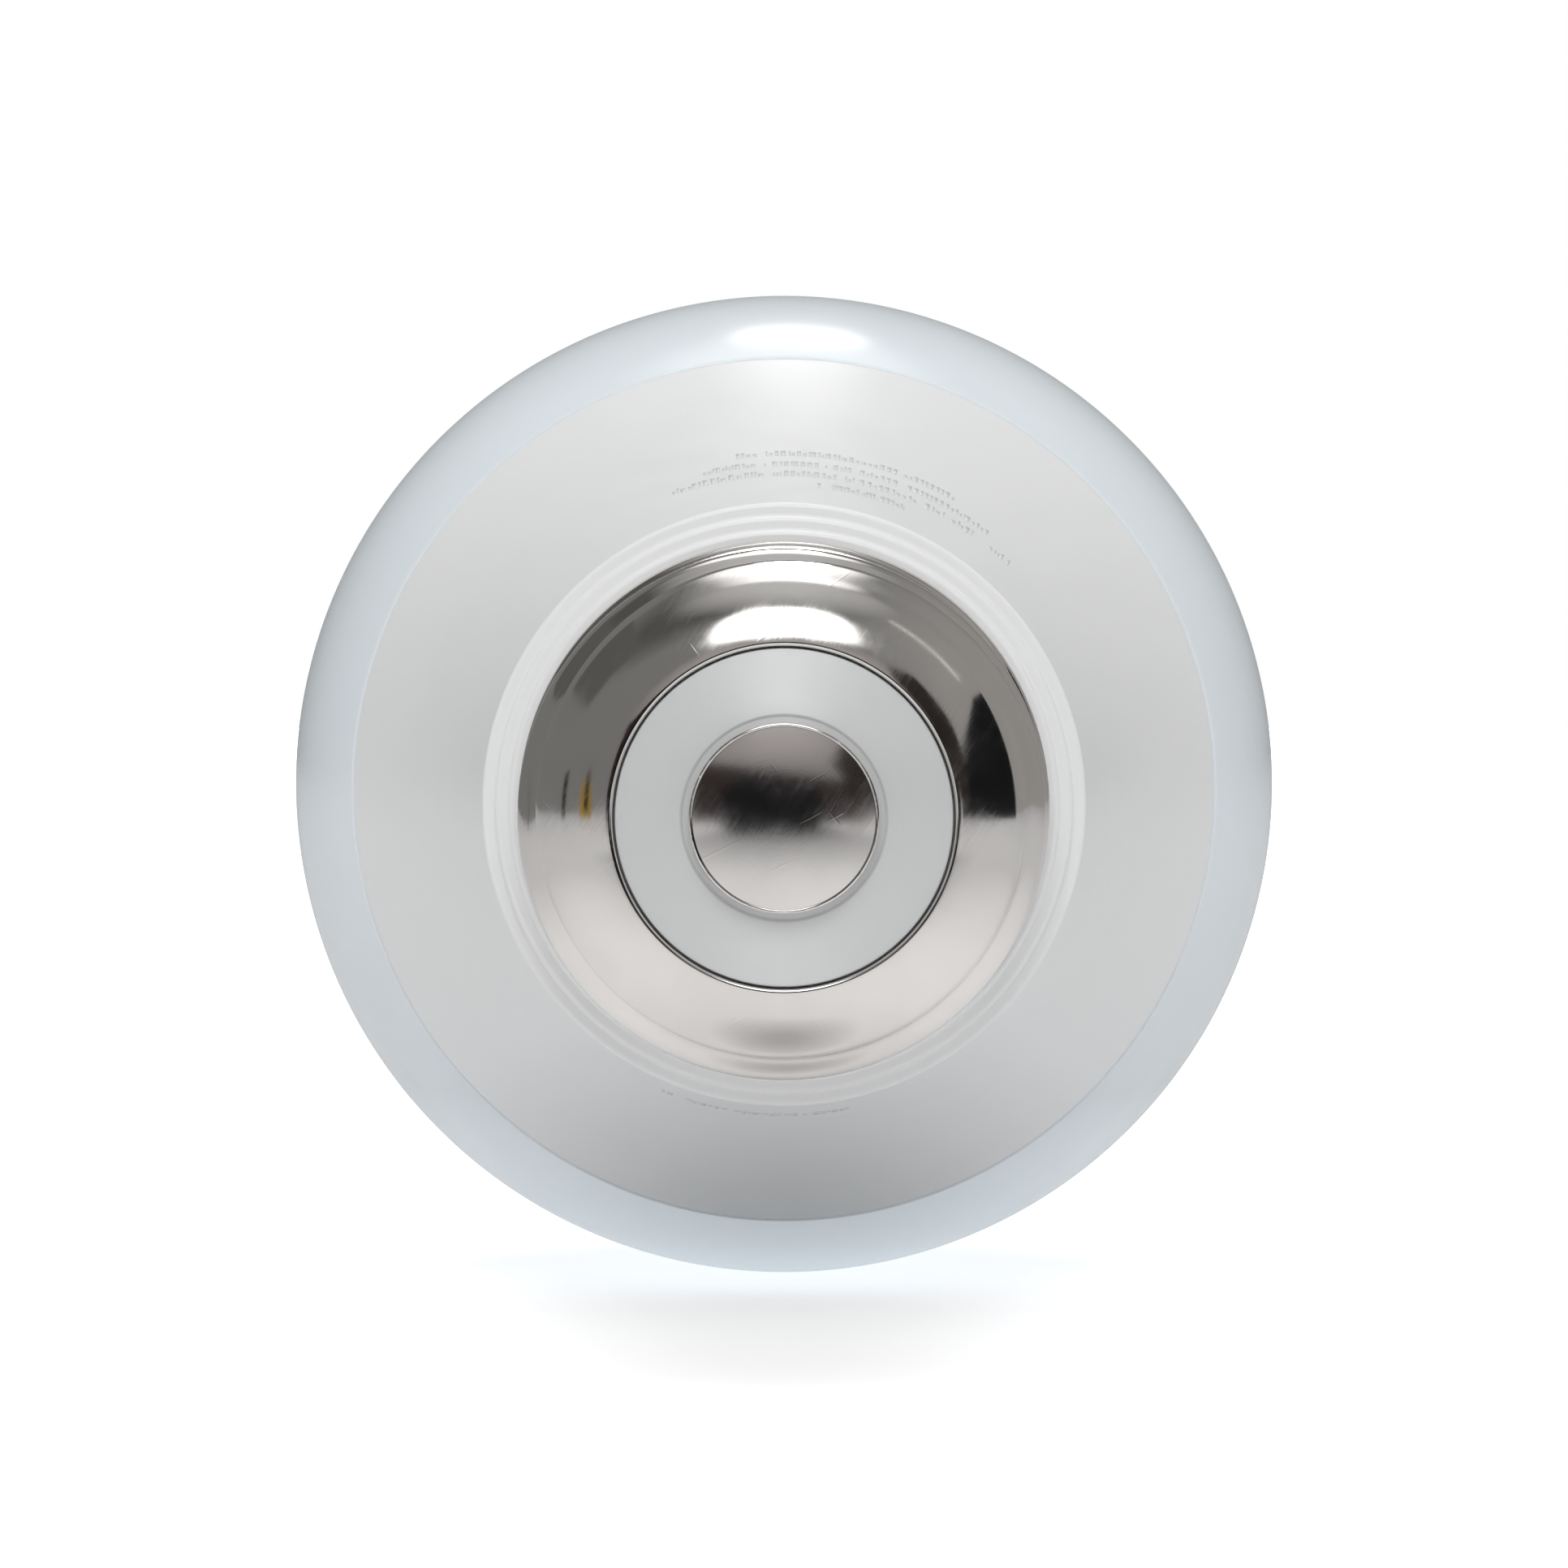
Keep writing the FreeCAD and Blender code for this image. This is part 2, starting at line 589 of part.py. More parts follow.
def make_cap_insulator():
    """Moulded disc that fills the hole of the shell and carries the centre contact."""
    bore = d.shank_radius + d.fit_gap / 2
    recess = d.contact_radius + d.recess_gap
    shoulder_reach = d.shoulder_round - d.shell_wall
    hole_radius = shoulder_centre + lip_reach * shoulder_reach / d.shoulder_round
    face_radius = hole_radius - d.fit_gap / 2
    flange_reach = insulator_flange + d.fit_gap - shoulder_centre
    flange_place = shoulder_top - root(
        shoulder_reach * shoulder_reach - flange_reach * flange_reach
    )
    edge = d.insulator_edge
    keep(
        "cap_insulator",
        turned(
            "cap_insulator",
            [
                (bore, head_underside),
                (recess, head_underside),
                (recess + d.recess_draft, insulator_face),
                (face_radius - edge, insulator_face),
                (face_radius, insulator_face + edge),
                (face_radius, flange_place),
                (insulator_flange, flange_place),
                (insulator_flange, d.insulator_back),
                (d.hub_radius, d.insulator_back),
                (d.hub_radius, d.insulator_back + d.hub_length),
                (bore, d.insulator_back + d.hub_length),
            ],
        ),
    )


def make_centre_contact():
    """Nickel-plated nail: domed head and shank."""
    dome_radius = (d.contact_radius * d.contact_radius + d.contact_dome * d.contact_dome) / (
        d.contact_dome * 2
    )
    nail = turned(
        "centre_contact",
        [
            (0, 0, dome_radius, 1),
            (d.contact_radius, d.contact_dome),
            (d.contact_radius, head_underside),
            (d.shank_radius, head_underside),
            (d.shank_radius, shank_end),
            (0, shank_end),
        ],
    )
    keep("centre_contact", nail)


# ---- housing, heat sink, LED board and diffuser -----------------------------------------------------


def make_housing():
    """White plastic housing: plug in the shell, stepped collar, flared side, rim for the diffuser."""
    foot = d.cap_length + d.fit_gap
    middle = foot + d.collar_step
    top = middle + d.collar_step
    soft = d.collar_round
    turned_housing = turned(
        "housing_turned",
        [
            (neck_inside, plug_end),
            (plug_radius, plug_end),
            (plug_radius, skirt_start + d.shell_wall),
            (plug_skirt, skirt_start + d.shell_wall),
            (plug_skirt, foot),
            (collar_foot - soft, foot),
            (collar_foot, foot + soft),
            (collar_foot, middle),
            (collar_radius - soft, middle),
            (collar_radius, middle + soft),
            (collar_radius, top),
            (neck_radius - soft, top),
            (neck_radius, top + soft),
            (neck_radius, flare_foot - soft * 2),
            (neck_radius - soft, flare_foot - soft),
            (neck_radius, flare_foot, d.flare_radius, -1),
            (rim_radius, joint),
            (bore_radius, joint),
            (bore_radius, plate_bottom, d.flare_radius + d.housing_wall, 1),
            (flare_at(floor_place, d.housing_wall), floor_place),
            (neck_inside, flare_foot),
        ],
    )
    ribs = []
    guide_start = d.driver_start - d.guide_lead
    rib_foot = d.neck_wall / 4
    for side in (-1, 1):
        for label, low in (
            ("upper", deck + d.fit_gap),
            ("lower", underside - d.fit_gap - d.guide_height),
        ):
            inner = driver_half - d.guide_overlap
            width = neck_inside + rib_foot - inner
            x = inner if side > 0 else 0 - inner - width
            ribs.append(
                block(
                    f"guide_{label}_{'right' if side > 0 else 'left'}",
                    (x, guide_start, low),
                    (width, d.guide_length, d.guide_height),
                )
            )
    ribbed = fuse("housing_ribbed", [turned_housing, *ribs])
    slot = block(
        "neutral_slot",
        (plug_radius - d.lead_radius * 2 - d.fit_gap, plug_end, 0 - d.lead_radius - d.fit_gap),
        (
            d.lead_radius * 2 + d.fit_gap * 2,
            d.neutral_tuck + d.lead_bend,
            (d.lead_radius + d.fit_gap) * 2,
        ),
    )
    keep("housing", cut("housing", ribbed, [slot]))


def screw_places():
    """The side of the axis that each board screw is on, as a sign and a word."""
    return [(-1, "left"), (1, "right")]


def make_heat_sink_cup():
    """Drawn aluminium cup inside the housing. Its flat end carries the LED board."""
    cup_end = floor_place + d.cup_gap
    cup = turned(
        "cup_turned",
        [
            (d.plate_hole, plate_bottom),
            (d.plate_hole, plate_top),
            (flare_at(plate_bottom, cup_inset), plate_top),
            (flare_at(plate_bottom, cup_inset), plate_bottom, d.flare_radius + cup_inset, 1),
            (flare_at(cup_end, cup_inset), cup_end),
            (flare_at(cup_end, cup_inner_inset), cup_end, d.flare_radius + cup_inner_inset, -1),
            (flare_at(plate_bottom, cup_inner_inset), plate_bottom),
        ],
    )
    bosses, bores = [], []
    for sign, side in screw_places():
        foot = (screw_place * sign, plate_bottom - d.screw_boss_height, 0)
        height = d.screw_boss_height + d.plate_thickness
        bosses.append(rod(f"boss_{side}", foot, d.screw_boss, height))
        bores.append(rod(f"boss_bore_{side}", foot, d.screw_radius + d.fit_gap / 2, height))
    keep("heat_sink_cup", cut("heat_sink_cup", fuse("cup_with_bosses", [cup, *bosses]), bores))


def board_holes(name, foot, height, radius):
    """Clear holes for both board screws through a disc."""
    return [
        rod(f"{name}_{side}", (screw_place * sign, foot, 0), radius, height)
        for sign, side in screw_places()
    ]


def make_thermal_pad():
    pad = turned(
        "pad_turned",
        [
            (d.plate_hole, plate_top),
            (d.plate_hole, pad_top),
            (led_board_radius, pad_top),
            (led_board_radius, plate_top),
        ],
    )
    holes = board_holes("pad_hole", plate_top, d.pad_thickness, d.screw_radius + d.pad_hole_gap)
    keep("thermal_pad", cut("thermal_pad", pad, holes))


def make_led_board():
    """Aluminium-core board with a slot for the output pins."""
    disc = rod("led_board_disc", (0, pad_top, 0), led_board_radius, d.led_board_thickness)
    half_slot = d.pin_spacing
    slot = block(
        "led_board_slot",
        (0 - half_slot, pad_top, 0 - d.pin_side * SLOT_WIDTH / 2),
        (half_slot * 2, d.led_board_thickness, d.pin_side * SLOT_WIDTH),
    )
    holes = board_holes(
        "led_board_hole", pad_top, d.led_board_thickness, d.screw_radius + d.board_hole_gap
    )
    keep("led_board", cut("led_board", disc, [slot, *holes]))


def block_on_circle(name, angle, foot, size):
    """A box centred on the circle of LEDs, turned to face outwards. size is (along, height, across)."""
    along, height, across = size
    sin, cos = math.sin(math.radians(angle)), math.cos(math.radians(angle))
    x = led_circle * sin - along / 2 * cos - across / 2 * sin
    z = led_circle * cos + along / 2 * sin - across / 2 * cos
    return block(name, (x, foot, z), (along, height, across), Rotation(Vector(0, 1, 0), angle))


def make_leds():
    """LED packages, each with a well, and the phosphor that fills the wells."""
    packages, phosphors = [], []
    count = int(d.led_count)
    well_size = (
        d.led_length - d.led_well_wall * 2,
        d.led_well,
        d.led_width - d.led_well_wall * 2,
    )
    well_foot = led_board_top + d.led_height - d.led_well
    for number in range(count):
        angle = 360.0 * (number + 0.5) / count
        body = block_on_circle(
            f"led_body_{number}", angle, led_board_top, (d.led_length, d.led_height, d.led_width)
        )
        well = block_on_circle(f"led_well_{number}", angle, well_foot, well_size)
        packages.append(cut(f"led_package_{number}", body, [well]))
        phosphors.append(block_on_circle(f"led_phosphor_{number}", angle, well_foot, well_size))
    keep("led_packages", group("led_packages", packages))
    keep("led_phosphors", group("led_phosphors", phosphors))


def make_board_screws():
    """Two pan-head self-tapping screws with a cross recess."""
    screws = []
    for sign, side in screw_places():
        tip = led_board_top - d.screw_length
        screw = turned(
            f"screw_turned_{side}",
            [
                (0, 0),
                (d.screw_radius / 3, 0),
                (d.screw_radius, d.screw_radius),
                (d.screw_radius, d.screw_length),
                (d.screw_head, d.screw_length),
                (d.screw_head, d.screw_length + d.screw_head_height / 2),
                (d.screw_head * SCREW_CROWN, d.screw_length + d.screw_head_height),
                (0, d.screw_length + d.screw_head_height),
            ],
        )
        put(screw, screw_place * sign, tip, 0)
        depth = d.screw_head_height / 2
        top = led_board_top + d.screw_head_height
        long_half, short_half = d.screw_head * RECESS_REACH, d.screw_head * RECESS_HALF
        slots = [
            block(
                f"recess_{name}_{side}",
                (screw_place * sign - half_x, top - depth, 0 - half_z),
                (half_x * 2, depth, half_z * 2),
            )
            for name, half_x, half_z in (
                ("wide", long_half, short_half),
                ("tall", short_half, long_half),
            )
        ]
        screws.append(cut(f"screw_{side}", screw, [fuse(f"recess_{side}", slots)]))
    keep("board_screws", group("board_screws", screws))


def make_diffuser():
    """Opal dome: a part of a sphere, a flange on the housing's rim and a lip inside it."""
    inner_radius = bulb_radius - d.diffuser_wall
    seat = joint + d.seat_gap
    flange_top = seat + d.diffuser_wall
    drop = flange_top - dome_centre
    keep(
        "diffuser",
        turned(
            "diffuser",
            [
                (0, d.bulb_length, bulb_radius, -1),
                (root(bulb_radius * bulb_radius - (seat - dome_centre) * (seat - dome_centre)), seat),
                (lip_outside, seat),
                (lip_outside, plate_top + d.fit_gap),
                (lip_inside, plate_top + d.fit_gap),
                (lip_inside, flange_top),
                (root(inner_radius * inner_radius - drop * drop), flange_top, inner_radius, 1),
                (0, d.bulb_length - d.diffuser_wall),
            ],
        ),
    )


def make_diffuser_adhesive():
    """Bead of silicone between the diffuser's lip and the housing."""
    inside, outside = lip_outside + d.fit_gap / 2, bore_radius - d.fit_gap / 2
    low, high = plate_top + d.glue_gap, joint - d.bead_setback
    keep(
        "diffuser_adhesive",
        turned("diffuser_adhesive", [(inside, low), (outside, low), (outside, high), (inside, high)]),
    )


# ---- driver -----------------------------------------------------------------------------------------


def make_driver_board():
    """Glass-fibre board, narrow in the neck and wider in the cup."""
    narrow = block(
        "driver_board_narrow",
        (0 - driver_half, d.driver_start, underside),
        (driver_half * 2, driver_end - d.driver_start, d.driver_thickness),
    )
    wide = block(
        "driver_board_wide",
        (0 - driver_wide_half, driver_widens, underside),
        (driver_wide_half * 2, driver_end - driver_widens, d.driver_thickness),
    )
    keep("driver_board", fuse("driver_board", [narrow, wide]))


def make_live_side():
    """Fusible resistor in its sleeve, on the bulb's axis between the contact's nail and the board."""
    start = shank_end + d.resistor_gap
    end = start + d.resistor_length
    edge, overhang = d.resistor_edge, d.sleeve_overhang
    keep(
        "fusible_resistor",
        turned(
            "fusible_resistor",
            [
                (0, start),
                (d.resistor_waist, start),
                (d.resistor_radius, start + edge),
                (d.resistor_radius, start + d.resistor_cap),
                (d.resistor_waist, start + d.resistor_cap + edge),
                (d.resistor_waist, end - d.resistor_cap - edge),
                (d.resistor_radius, end - d.resistor_cap),
                (d.resistor_radius, end - edge),
                (d.resistor_waist, end),
                (0, end),
            ],
        ),
    )
    inside = d.resistor_radius + d.fit_gap
    outside = inside + d.sleeve_wall
    low, high = start - overhang, end + overhang
    keep(
        "resistor_sleeve",
        turned("resistor_sleeve", [(inside, low), (outside, low), (outside, high), (inside, high)]),
    )
    to_contact = rod("lead_to_contact", (0, shank_end, 0), d.lead_radius, start - shank_end)
    to_board = bent_wire(
        "lead_to_board",
        [Vector(0, end, 0), Vector(0, live_hole, 0), Vector(0, live_hole, deck)],
        float(d.lead_radius),
    )
    keep("live_leads", group("live_leads", [to_contact, to_board]))


def make_neutral_lead():
    """Bare wire from the board, folded back over the plug's end and trapped under the shell."""
    outside = plug_radius - d.lead_radius
    below = plug_end - d.lead_bend
    route = [
        Vector(neutral_offset, neutral_hole, deck),
        Vector(neutral_offset, neutral_hole, 0),
        Vector(neutral_offset, below, 0),
        Vector(outside, below, 0),
        Vector(outside, plug_end + d.neutral_tuck, 0),
    ]
    keep("neutral_lead", bent_wire("neutral_lead", route, float(d.thin_lead_radius)))


def can_outline(radius, length):
    """Outline of an electrolytic capacitor with its rolled groove, from the bung at 0."""
    return [
        (0, 0),
        (radius * (1 - CAN_EDGE), 0),
        (radius, radius * CAN_EDGE),
        (radius, radius * (CAN_GROOVE - CAN_GROOVE_HALF)),
        (radius * (1 - CAN_GROOVE_DEPTH), radius * CAN_GROOVE),
        (radius, radius * (CAN_GROOVE + CAN_GROOVE_HALF)),
        (radius, length - radius * CAN_TOP_EDGE),
        (radius * (1 - CAN_TOP_EDGE), length),
        (0, length),
    ]


def lying_can(name, x, bung_place, radius, length, towards_cap):
    """A capacitor lying on the board along Y. Returns the two bent leads at its bung."""
    can = turned(name, can_outline(radius, length))
    height = deck + radius
    bend_place = bung_place - d.bung_lead if towards_cap else bung_place + d.bung_lead
    put(can, x, bung_place, height, None if towards_cap else Rotation(Vector(0, 0, 1), 180))
    keep(name, can)
    leads = []
    for side in (-1, 1):
        across = x + radius * (CAN_LEAD_SPREAD * side)
        points = [
            Vector(across, bung_place, height),
            Vector(across, bend_place, height),
            Vector(across, bend_place, deck),
        ]
        leads.append(bent_wire(f"{name}_lead_{side + 1}", points, float(d.thin_lead_radius)))
    return leads


def make_capacitors():
    """The smoothing capacitors. Returns their leads."""
    leads = lying_can(
        "input_capacitor",
        0 - d.input_capacitor_radius - d.input_capacitor_inset,
        d.driver_start + d.input_capacitor_start,
        d.input_capacitor_radius,
        d.input_capacitor_length,
        True,
    )
    leads += lying_can(
        "output_capacitor",
        0 - d.output_capacitor_radius - d.output_capacitor_inset,
        driver_end - d.output_margin,
        d.output_capacitor_radius,
        d.output_capacitor_length,
        False,
    )
    return leads


def make_film_capacitor():
    """Film capacitor on the top of the board. Returns its leads."""
    low = (d.film_inset, d.driver_start + d.film_start, deck + d.stand_off)
    keep("film_capacitor", block("film_capacitor", low, FILM_CAPACITOR))
    leads = []
    for number, share in enumerate(FILM_LEAD_SHARES):
        foot = (low[0] + FILM_CAPACITOR[0] * share, low[1] + FILM_CAPACITOR[1] / 2, deck)
        leads.append(rod(f"film_lead_{number}", foot, d.lead_radius, d.stand_off, TO_Z))
    return leads


def make_varistor():
    """Surge absorber disc, standing behind the film capacitor. Returns its leads."""
    radius, edge, spread = d.varistor_radius, d.varistor_edge, d.varistor_lead_spread
    place = d.driver_start + d.film_start + FILM_CAPACITOR[1] + d.varistor_gap
    x = radius + d.film_inset
    height = deck + d.stand_off + radius
    varistor = turned(
        "varistor",
        [
            (0, 0),
            (radius - edge, 0),
            (radius, edge),
            (radius, d.varistor_thickness - edge),
            (radius - edge, d.varistor_thickness),
            (0, d.varistor_thickness),
        ],
    )
    put(varistor, x, place, height)
    keep("varistor", varistor)
    near_side = spread - d.lead_radius
    lead_top = height - root(radius * radius - near_side * near_side)
    leads = []
    for sign in (-1, 1):
        foot = (x + spread * sign, place + d.varistor_thickness / 2, deck)
        leads.append(rod(f"varistor_lead_{sign + 1}", foot, d.lead_radius, lead_top - deck, TO_Z))
    return leads


def make_choke():
    """Drum core and its winding, upright on the board. Returns its leads."""
    radius, flange, post = d.choke_radius, d.choke_flange, d.choke_post
    place = (radius + d.choke_inset, driver_end - d.output_margin - radius, deck + d.stand_off)
    upright = Rotation(Vector(1, 0, 0), 90)
    core = turned(
        "choke_core",
        [
            (0, 0),
            (radius, 0),
            (radius, flange),
            (post, flange),
            (post, d.choke_height - flange),
            (radius, d.choke_height - flange),
            (radius, d.choke_height),
            (0, d.choke_height),
        ],
    )
    put(core, *place, upright)
    keep("choke_core", core)
    inside, low = post + d.fit_gap / 2, flange + d.fit_gap / 2
    outside, high = d.choke_winding_radius, d.choke_height - low
    winding = turned("choke_winding", [(inside, low), (outside, low), (outside, high), (inside, high)])
    put(winding, *place, upright)
    keep("choke_winding", winding)
    leads = []
    for sign in (-1, 1):
        foot = (place[0] + d.choke_lead_spread * sign, place[1], deck)
        leads.append(rod(f"choke_lead_{sign + 1}", foot, d.lead_radius, d.stand_off, TO_Z))
    return leads


def under_board(place):
    """Corner of a package under the board, from its X and its distance from the board's cap end."""
    return place[0], d.driver_start + place[1]


def surface_part(name, x, y, size):
    """A flat package soldered under the board."""
    return block(name, (x, y, underside - size[2]), size)


def side_pins(name, x, y, size, count):
    """Rows of pins on both long sides of a package under the board."""
    reach, width, height = PACKAGE_PIN
    pins = []
    for side, pin_x in enumerate((x - reach, x + size[0])):
        for number in range(count):
            pin_y = y + size[1] * (number + 0.5) / count - width / 2
            low = (pin_x, pin_y, underside - height)
            pins.append(block(f"{name}_pin_{side}_{number}", low, PACKAGE_PIN))
    return pins


def make_surface_parts():
    """Rectifier, driver chip, diode, resistors and capacitors on the underside of the board."""
    rectifier_at = under_board(RECTIFIER_PLACE)
    keep("bridge_rectifier", surface_part("bridge_rectifier", *rectifier_at, BRIDGE_RECTIFIER))
    pins = side_pins("rectifier", *rectifier_at, BRIDGE_RECTIFIER, 2)

    chip_at = under_board(CHIP_PLACE)
    keep("driver_chip", surface_part("driver_chip", *chip_at, DRIVER_CHIP))
    pins += side_pins("driver_chip", *chip_at, DRIVER_CHIP, 4)

    diode_at = under_board(DIODE_PLACE)
    keep("output_diode", surface_part("output_diode", *diode_at, OUTPUT_DIODE))
    tab_x = diode_at[0] + (OUTPUT_DIODE[0] - DIODE_TAB[0]) / 2
    for number, place in enumerate((diode_at[1] - DIODE_TAB[1], diode_at[1] + OUTPUT_DIODE[1])):
        pins.append(block(f"diode_tab_{number}", (tab_x, place, underside - DIODE_TAB[2]), DIODE_TAB))
    keep("surface_mount_pins", group("surface_mount_pins", pins))

    resistor_x, resistor_y = under_board(RESISTOR_PLACE)
    resistors = [
        surface_part(f"chip_resistor_{n}", resistor_x, resistor_y + RESISTOR_SPACING * n, CHIP_RESISTOR)
        for n in range(RESISTOR_COUNT)
    ]
    keep("chip_resistors", group("chip_resistors", resistors))
    capacitor_x, capacitor_y = CAPACITOR_PLACE[0], driver_end - CAPACITOR_PLACE[1]
    capacitors = [
        surface_part(f"chip_capacitor_{n}", capacitor_x + CAPACITOR_SPACING * n, capacitor_y, CHIP_CAPACITOR)
        for n in range(CAPACITOR_COUNT)
    ]
    keep("chip_capacitors", group("chip_capacitors", capacitors))


def make_output_connector():
    """Pin header on the driver board, its two pins, and the socket on the LED board."""
    header_half = d.pin_spacing
    keep(
        "output_header",
        block(
            "output_header",
            (0 - header_half, driver_end - d.header_length, deck),
            (header_half * 2, d.header_length, d.driver_drop * 2),
        ),
    )
    socket_half_z = d.pin_spacing * SOCKET_WIDTH / 2
    socket_body = block(
        "socket_body",
        (0 - socket_half, led_board_top, 0 - socket_half_z),
        (socket_half * 2, d.socket_height, socket_half_z * 2),
    )
    pin_end = led_board_top + d.socket_height - d.pin_side
    pins, holes = [], []
    hole_side = d.pin_side + d.fit_gap * 2
    for sign in (-1, 1):
        centre = d.pin_spacing * (sign / 2)
        pins.append(
            block(
                f"output_pin_{sign + 1}",
                (centre - d.pin_side / 2, driver_end, 0 - d.pin_side / 2),
                (d.pin_side, pin_end - driver_end, d.pin_side),
            )
        )
        holes.append(
            block(
                f"socket_hole_{sign + 1}",
                (centre - hole_side / 2, led_board_top, 0 - hole_side / 2),
                (hole_side, d.socket_height, hole_side),
            )
        )
    keep("output_pins", group("output_pins", pins))
    keep("board_socket", cut("board_socket", socket_body, holes))


def make_solder_joints(spots):
    """Solder cones under the board where the leads of the top parts come through."""
    cones = []
    for number, (x, y) in enumerate(spots):
        cone = doc.addObject("Part::Cone", f"solder_{number}")
        bind(cone, "Radius1", d.solder_tip)
        bind(cone, "Radius2", d.solder_foot)
        bind(cone, "Height", d.solder_height)
        put(cone, x, y, underside - d.solder_height)
        cones.append(cone)
    keep("solder_joints", group("solder_joints", cones))


def lead_spots(leads):
    """Where each lead meets the top of the board."""
    spots = []
    for lead in leads:
        faces = [face for face in lead.Shape.Faces if abs(face.BoundBox.ZMax - deck) < TOUCH_TOLERANCE]
        spots.append((faces[0].CenterOfMass.x, faces[0].CenterOfMass.y))
    return spots


# ---- assembly ---------------------------------------------------------------------------------------

make_screw_shell()
make_cap_insulator()
make_centre_contact()
make_housing()
make_heat_sink_cup()
make_thermal_pad()
make_led_board()
make_leds()
make_board_screws()
make_diffuser()
make_diffuser_adhesive()
make_driver_board()
make_live_side()
make_neutral_lead()
top_leads = make_capacitors() + make_film_capacitor() + make_varistor() + make_choke()
make_surface_parts()
make_output_connector()
doc.recompute()
make_solder_joints([(0, live_hole), (neutral_offset, neutral_hole), *lead_spots(top_leads)])
keep("component_leads", group("component_leads", top_leads))
doc.recompute()

faulty = [thing.Name for thing in doc.Objects if {"Invalid", "Error"} & set(thing.State)]
if faulty:
    raise SystemExit(f"these objects failed: {faulty}")

os.makedirs("parts", exist_ok=True)
for piece in kept_pieces:
    shape = piece.Shape
    if shape.isNull() or not shape.isValid() or not shape.Solids:
        raise SystemExit(f"{piece.Label} has no valid solid")
    shape.exportStep(f"parts/{piece.Label}.step")
    print(f"{piece.Label}: {len(shape.Solids)} solids, {shape.Volume:.2f} mm3")
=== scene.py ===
"""Looks of an LED bulb with a screw cap, lying level on a pale table under overhead softboxes.

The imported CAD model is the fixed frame. The turned outer pieces (contact, insulator, shell, housing and
diffuser) are built again here with rounded edges, rolled lips and punch marks, and they stand for their CAD
nodes. The pieces inside the bulb keep their CAD shape, apart from the choke's winding, which gets its turns.
Sizes in the classes are millimetres; meshes are in metres. +Y runs from the cap to the crown, +Z is up.
A turned piece is an outline of (radius, place along the axis) and every angle runs from +Z towards +X.
"""

import logging
import math
from collections.abc import Sequence
from dataclasses import dataclass, field
from enum import Enum

import bmesh
import bpy
import numpy as np
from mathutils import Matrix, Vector
from numpy.typing import NDArray


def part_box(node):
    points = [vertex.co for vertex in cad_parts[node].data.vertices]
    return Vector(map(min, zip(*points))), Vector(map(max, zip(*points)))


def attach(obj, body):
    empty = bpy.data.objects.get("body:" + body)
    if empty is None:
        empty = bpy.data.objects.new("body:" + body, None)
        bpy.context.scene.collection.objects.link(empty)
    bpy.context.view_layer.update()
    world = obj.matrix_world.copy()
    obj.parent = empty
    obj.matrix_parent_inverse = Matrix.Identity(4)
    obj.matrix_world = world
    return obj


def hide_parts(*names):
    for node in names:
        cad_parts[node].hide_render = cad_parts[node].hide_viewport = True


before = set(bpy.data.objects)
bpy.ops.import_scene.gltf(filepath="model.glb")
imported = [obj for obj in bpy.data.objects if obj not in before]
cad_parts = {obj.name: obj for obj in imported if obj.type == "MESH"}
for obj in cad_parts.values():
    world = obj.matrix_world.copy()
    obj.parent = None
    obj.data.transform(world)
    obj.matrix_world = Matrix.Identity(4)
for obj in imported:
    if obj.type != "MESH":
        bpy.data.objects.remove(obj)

LOG = logging.getLogger("bulb")
MM = 0.001
BODY = "root"
CARD_FOOT = -0.0298  # metres, just above the table

Array = NDArray[np.float64]
Span = tuple[float, float]
Place = tuple[float, float, float]
Colour = tuple[float, float, float]
Socket = bpy.types.NodeSocket


# ---- outlines and meshes ----------------------------------------------------------------------------


def smooth_step(share: Array) -> Array:
    """Goes from 0 to 1 with a level start and end: share squared times three less twice the share."""
    share = np.clip(share, 0.0, 1.0)
    return share * share * (3.0 - 2.0 * share)


def corners(*points: Sequence[float]) -> Array:
    """Turns (radius, place) or (radius, place, rounding) corners into rows of three numbers."""
    return np.array([(*point, 0.0)[:3] for point in points], float)


def plain(points: Array) -> Array:
    """Gives points on a curve the rounding 0, so that they join an outline as they are."""
    return np.column_stack([points, np.zeros(len(points))])


def circle_arc(centre: tuple[float, float], reach: float, start: float, end: float, steps: int) -> Array:
    """Points on a circle in an outline's plane.

    A point is the centre plus reach times (sine, minus cosine) of a tilt, so tilt 0 faces the cap.

    Args:
        centre: Radius and place of the circle's centre.
        reach: Radius of the circle.
        start: First tilt in radians.
        end: Last tilt in radians.
        steps: How many spans the arc has.

    Returns:
        Rows of (radius, place).
    """
    tilt = np.linspace(start, end, steps + 1)
    return np.column_stack([centre[0] + reach * np.sin(tilt), centre[1] - reach * np.cos(tilt)])


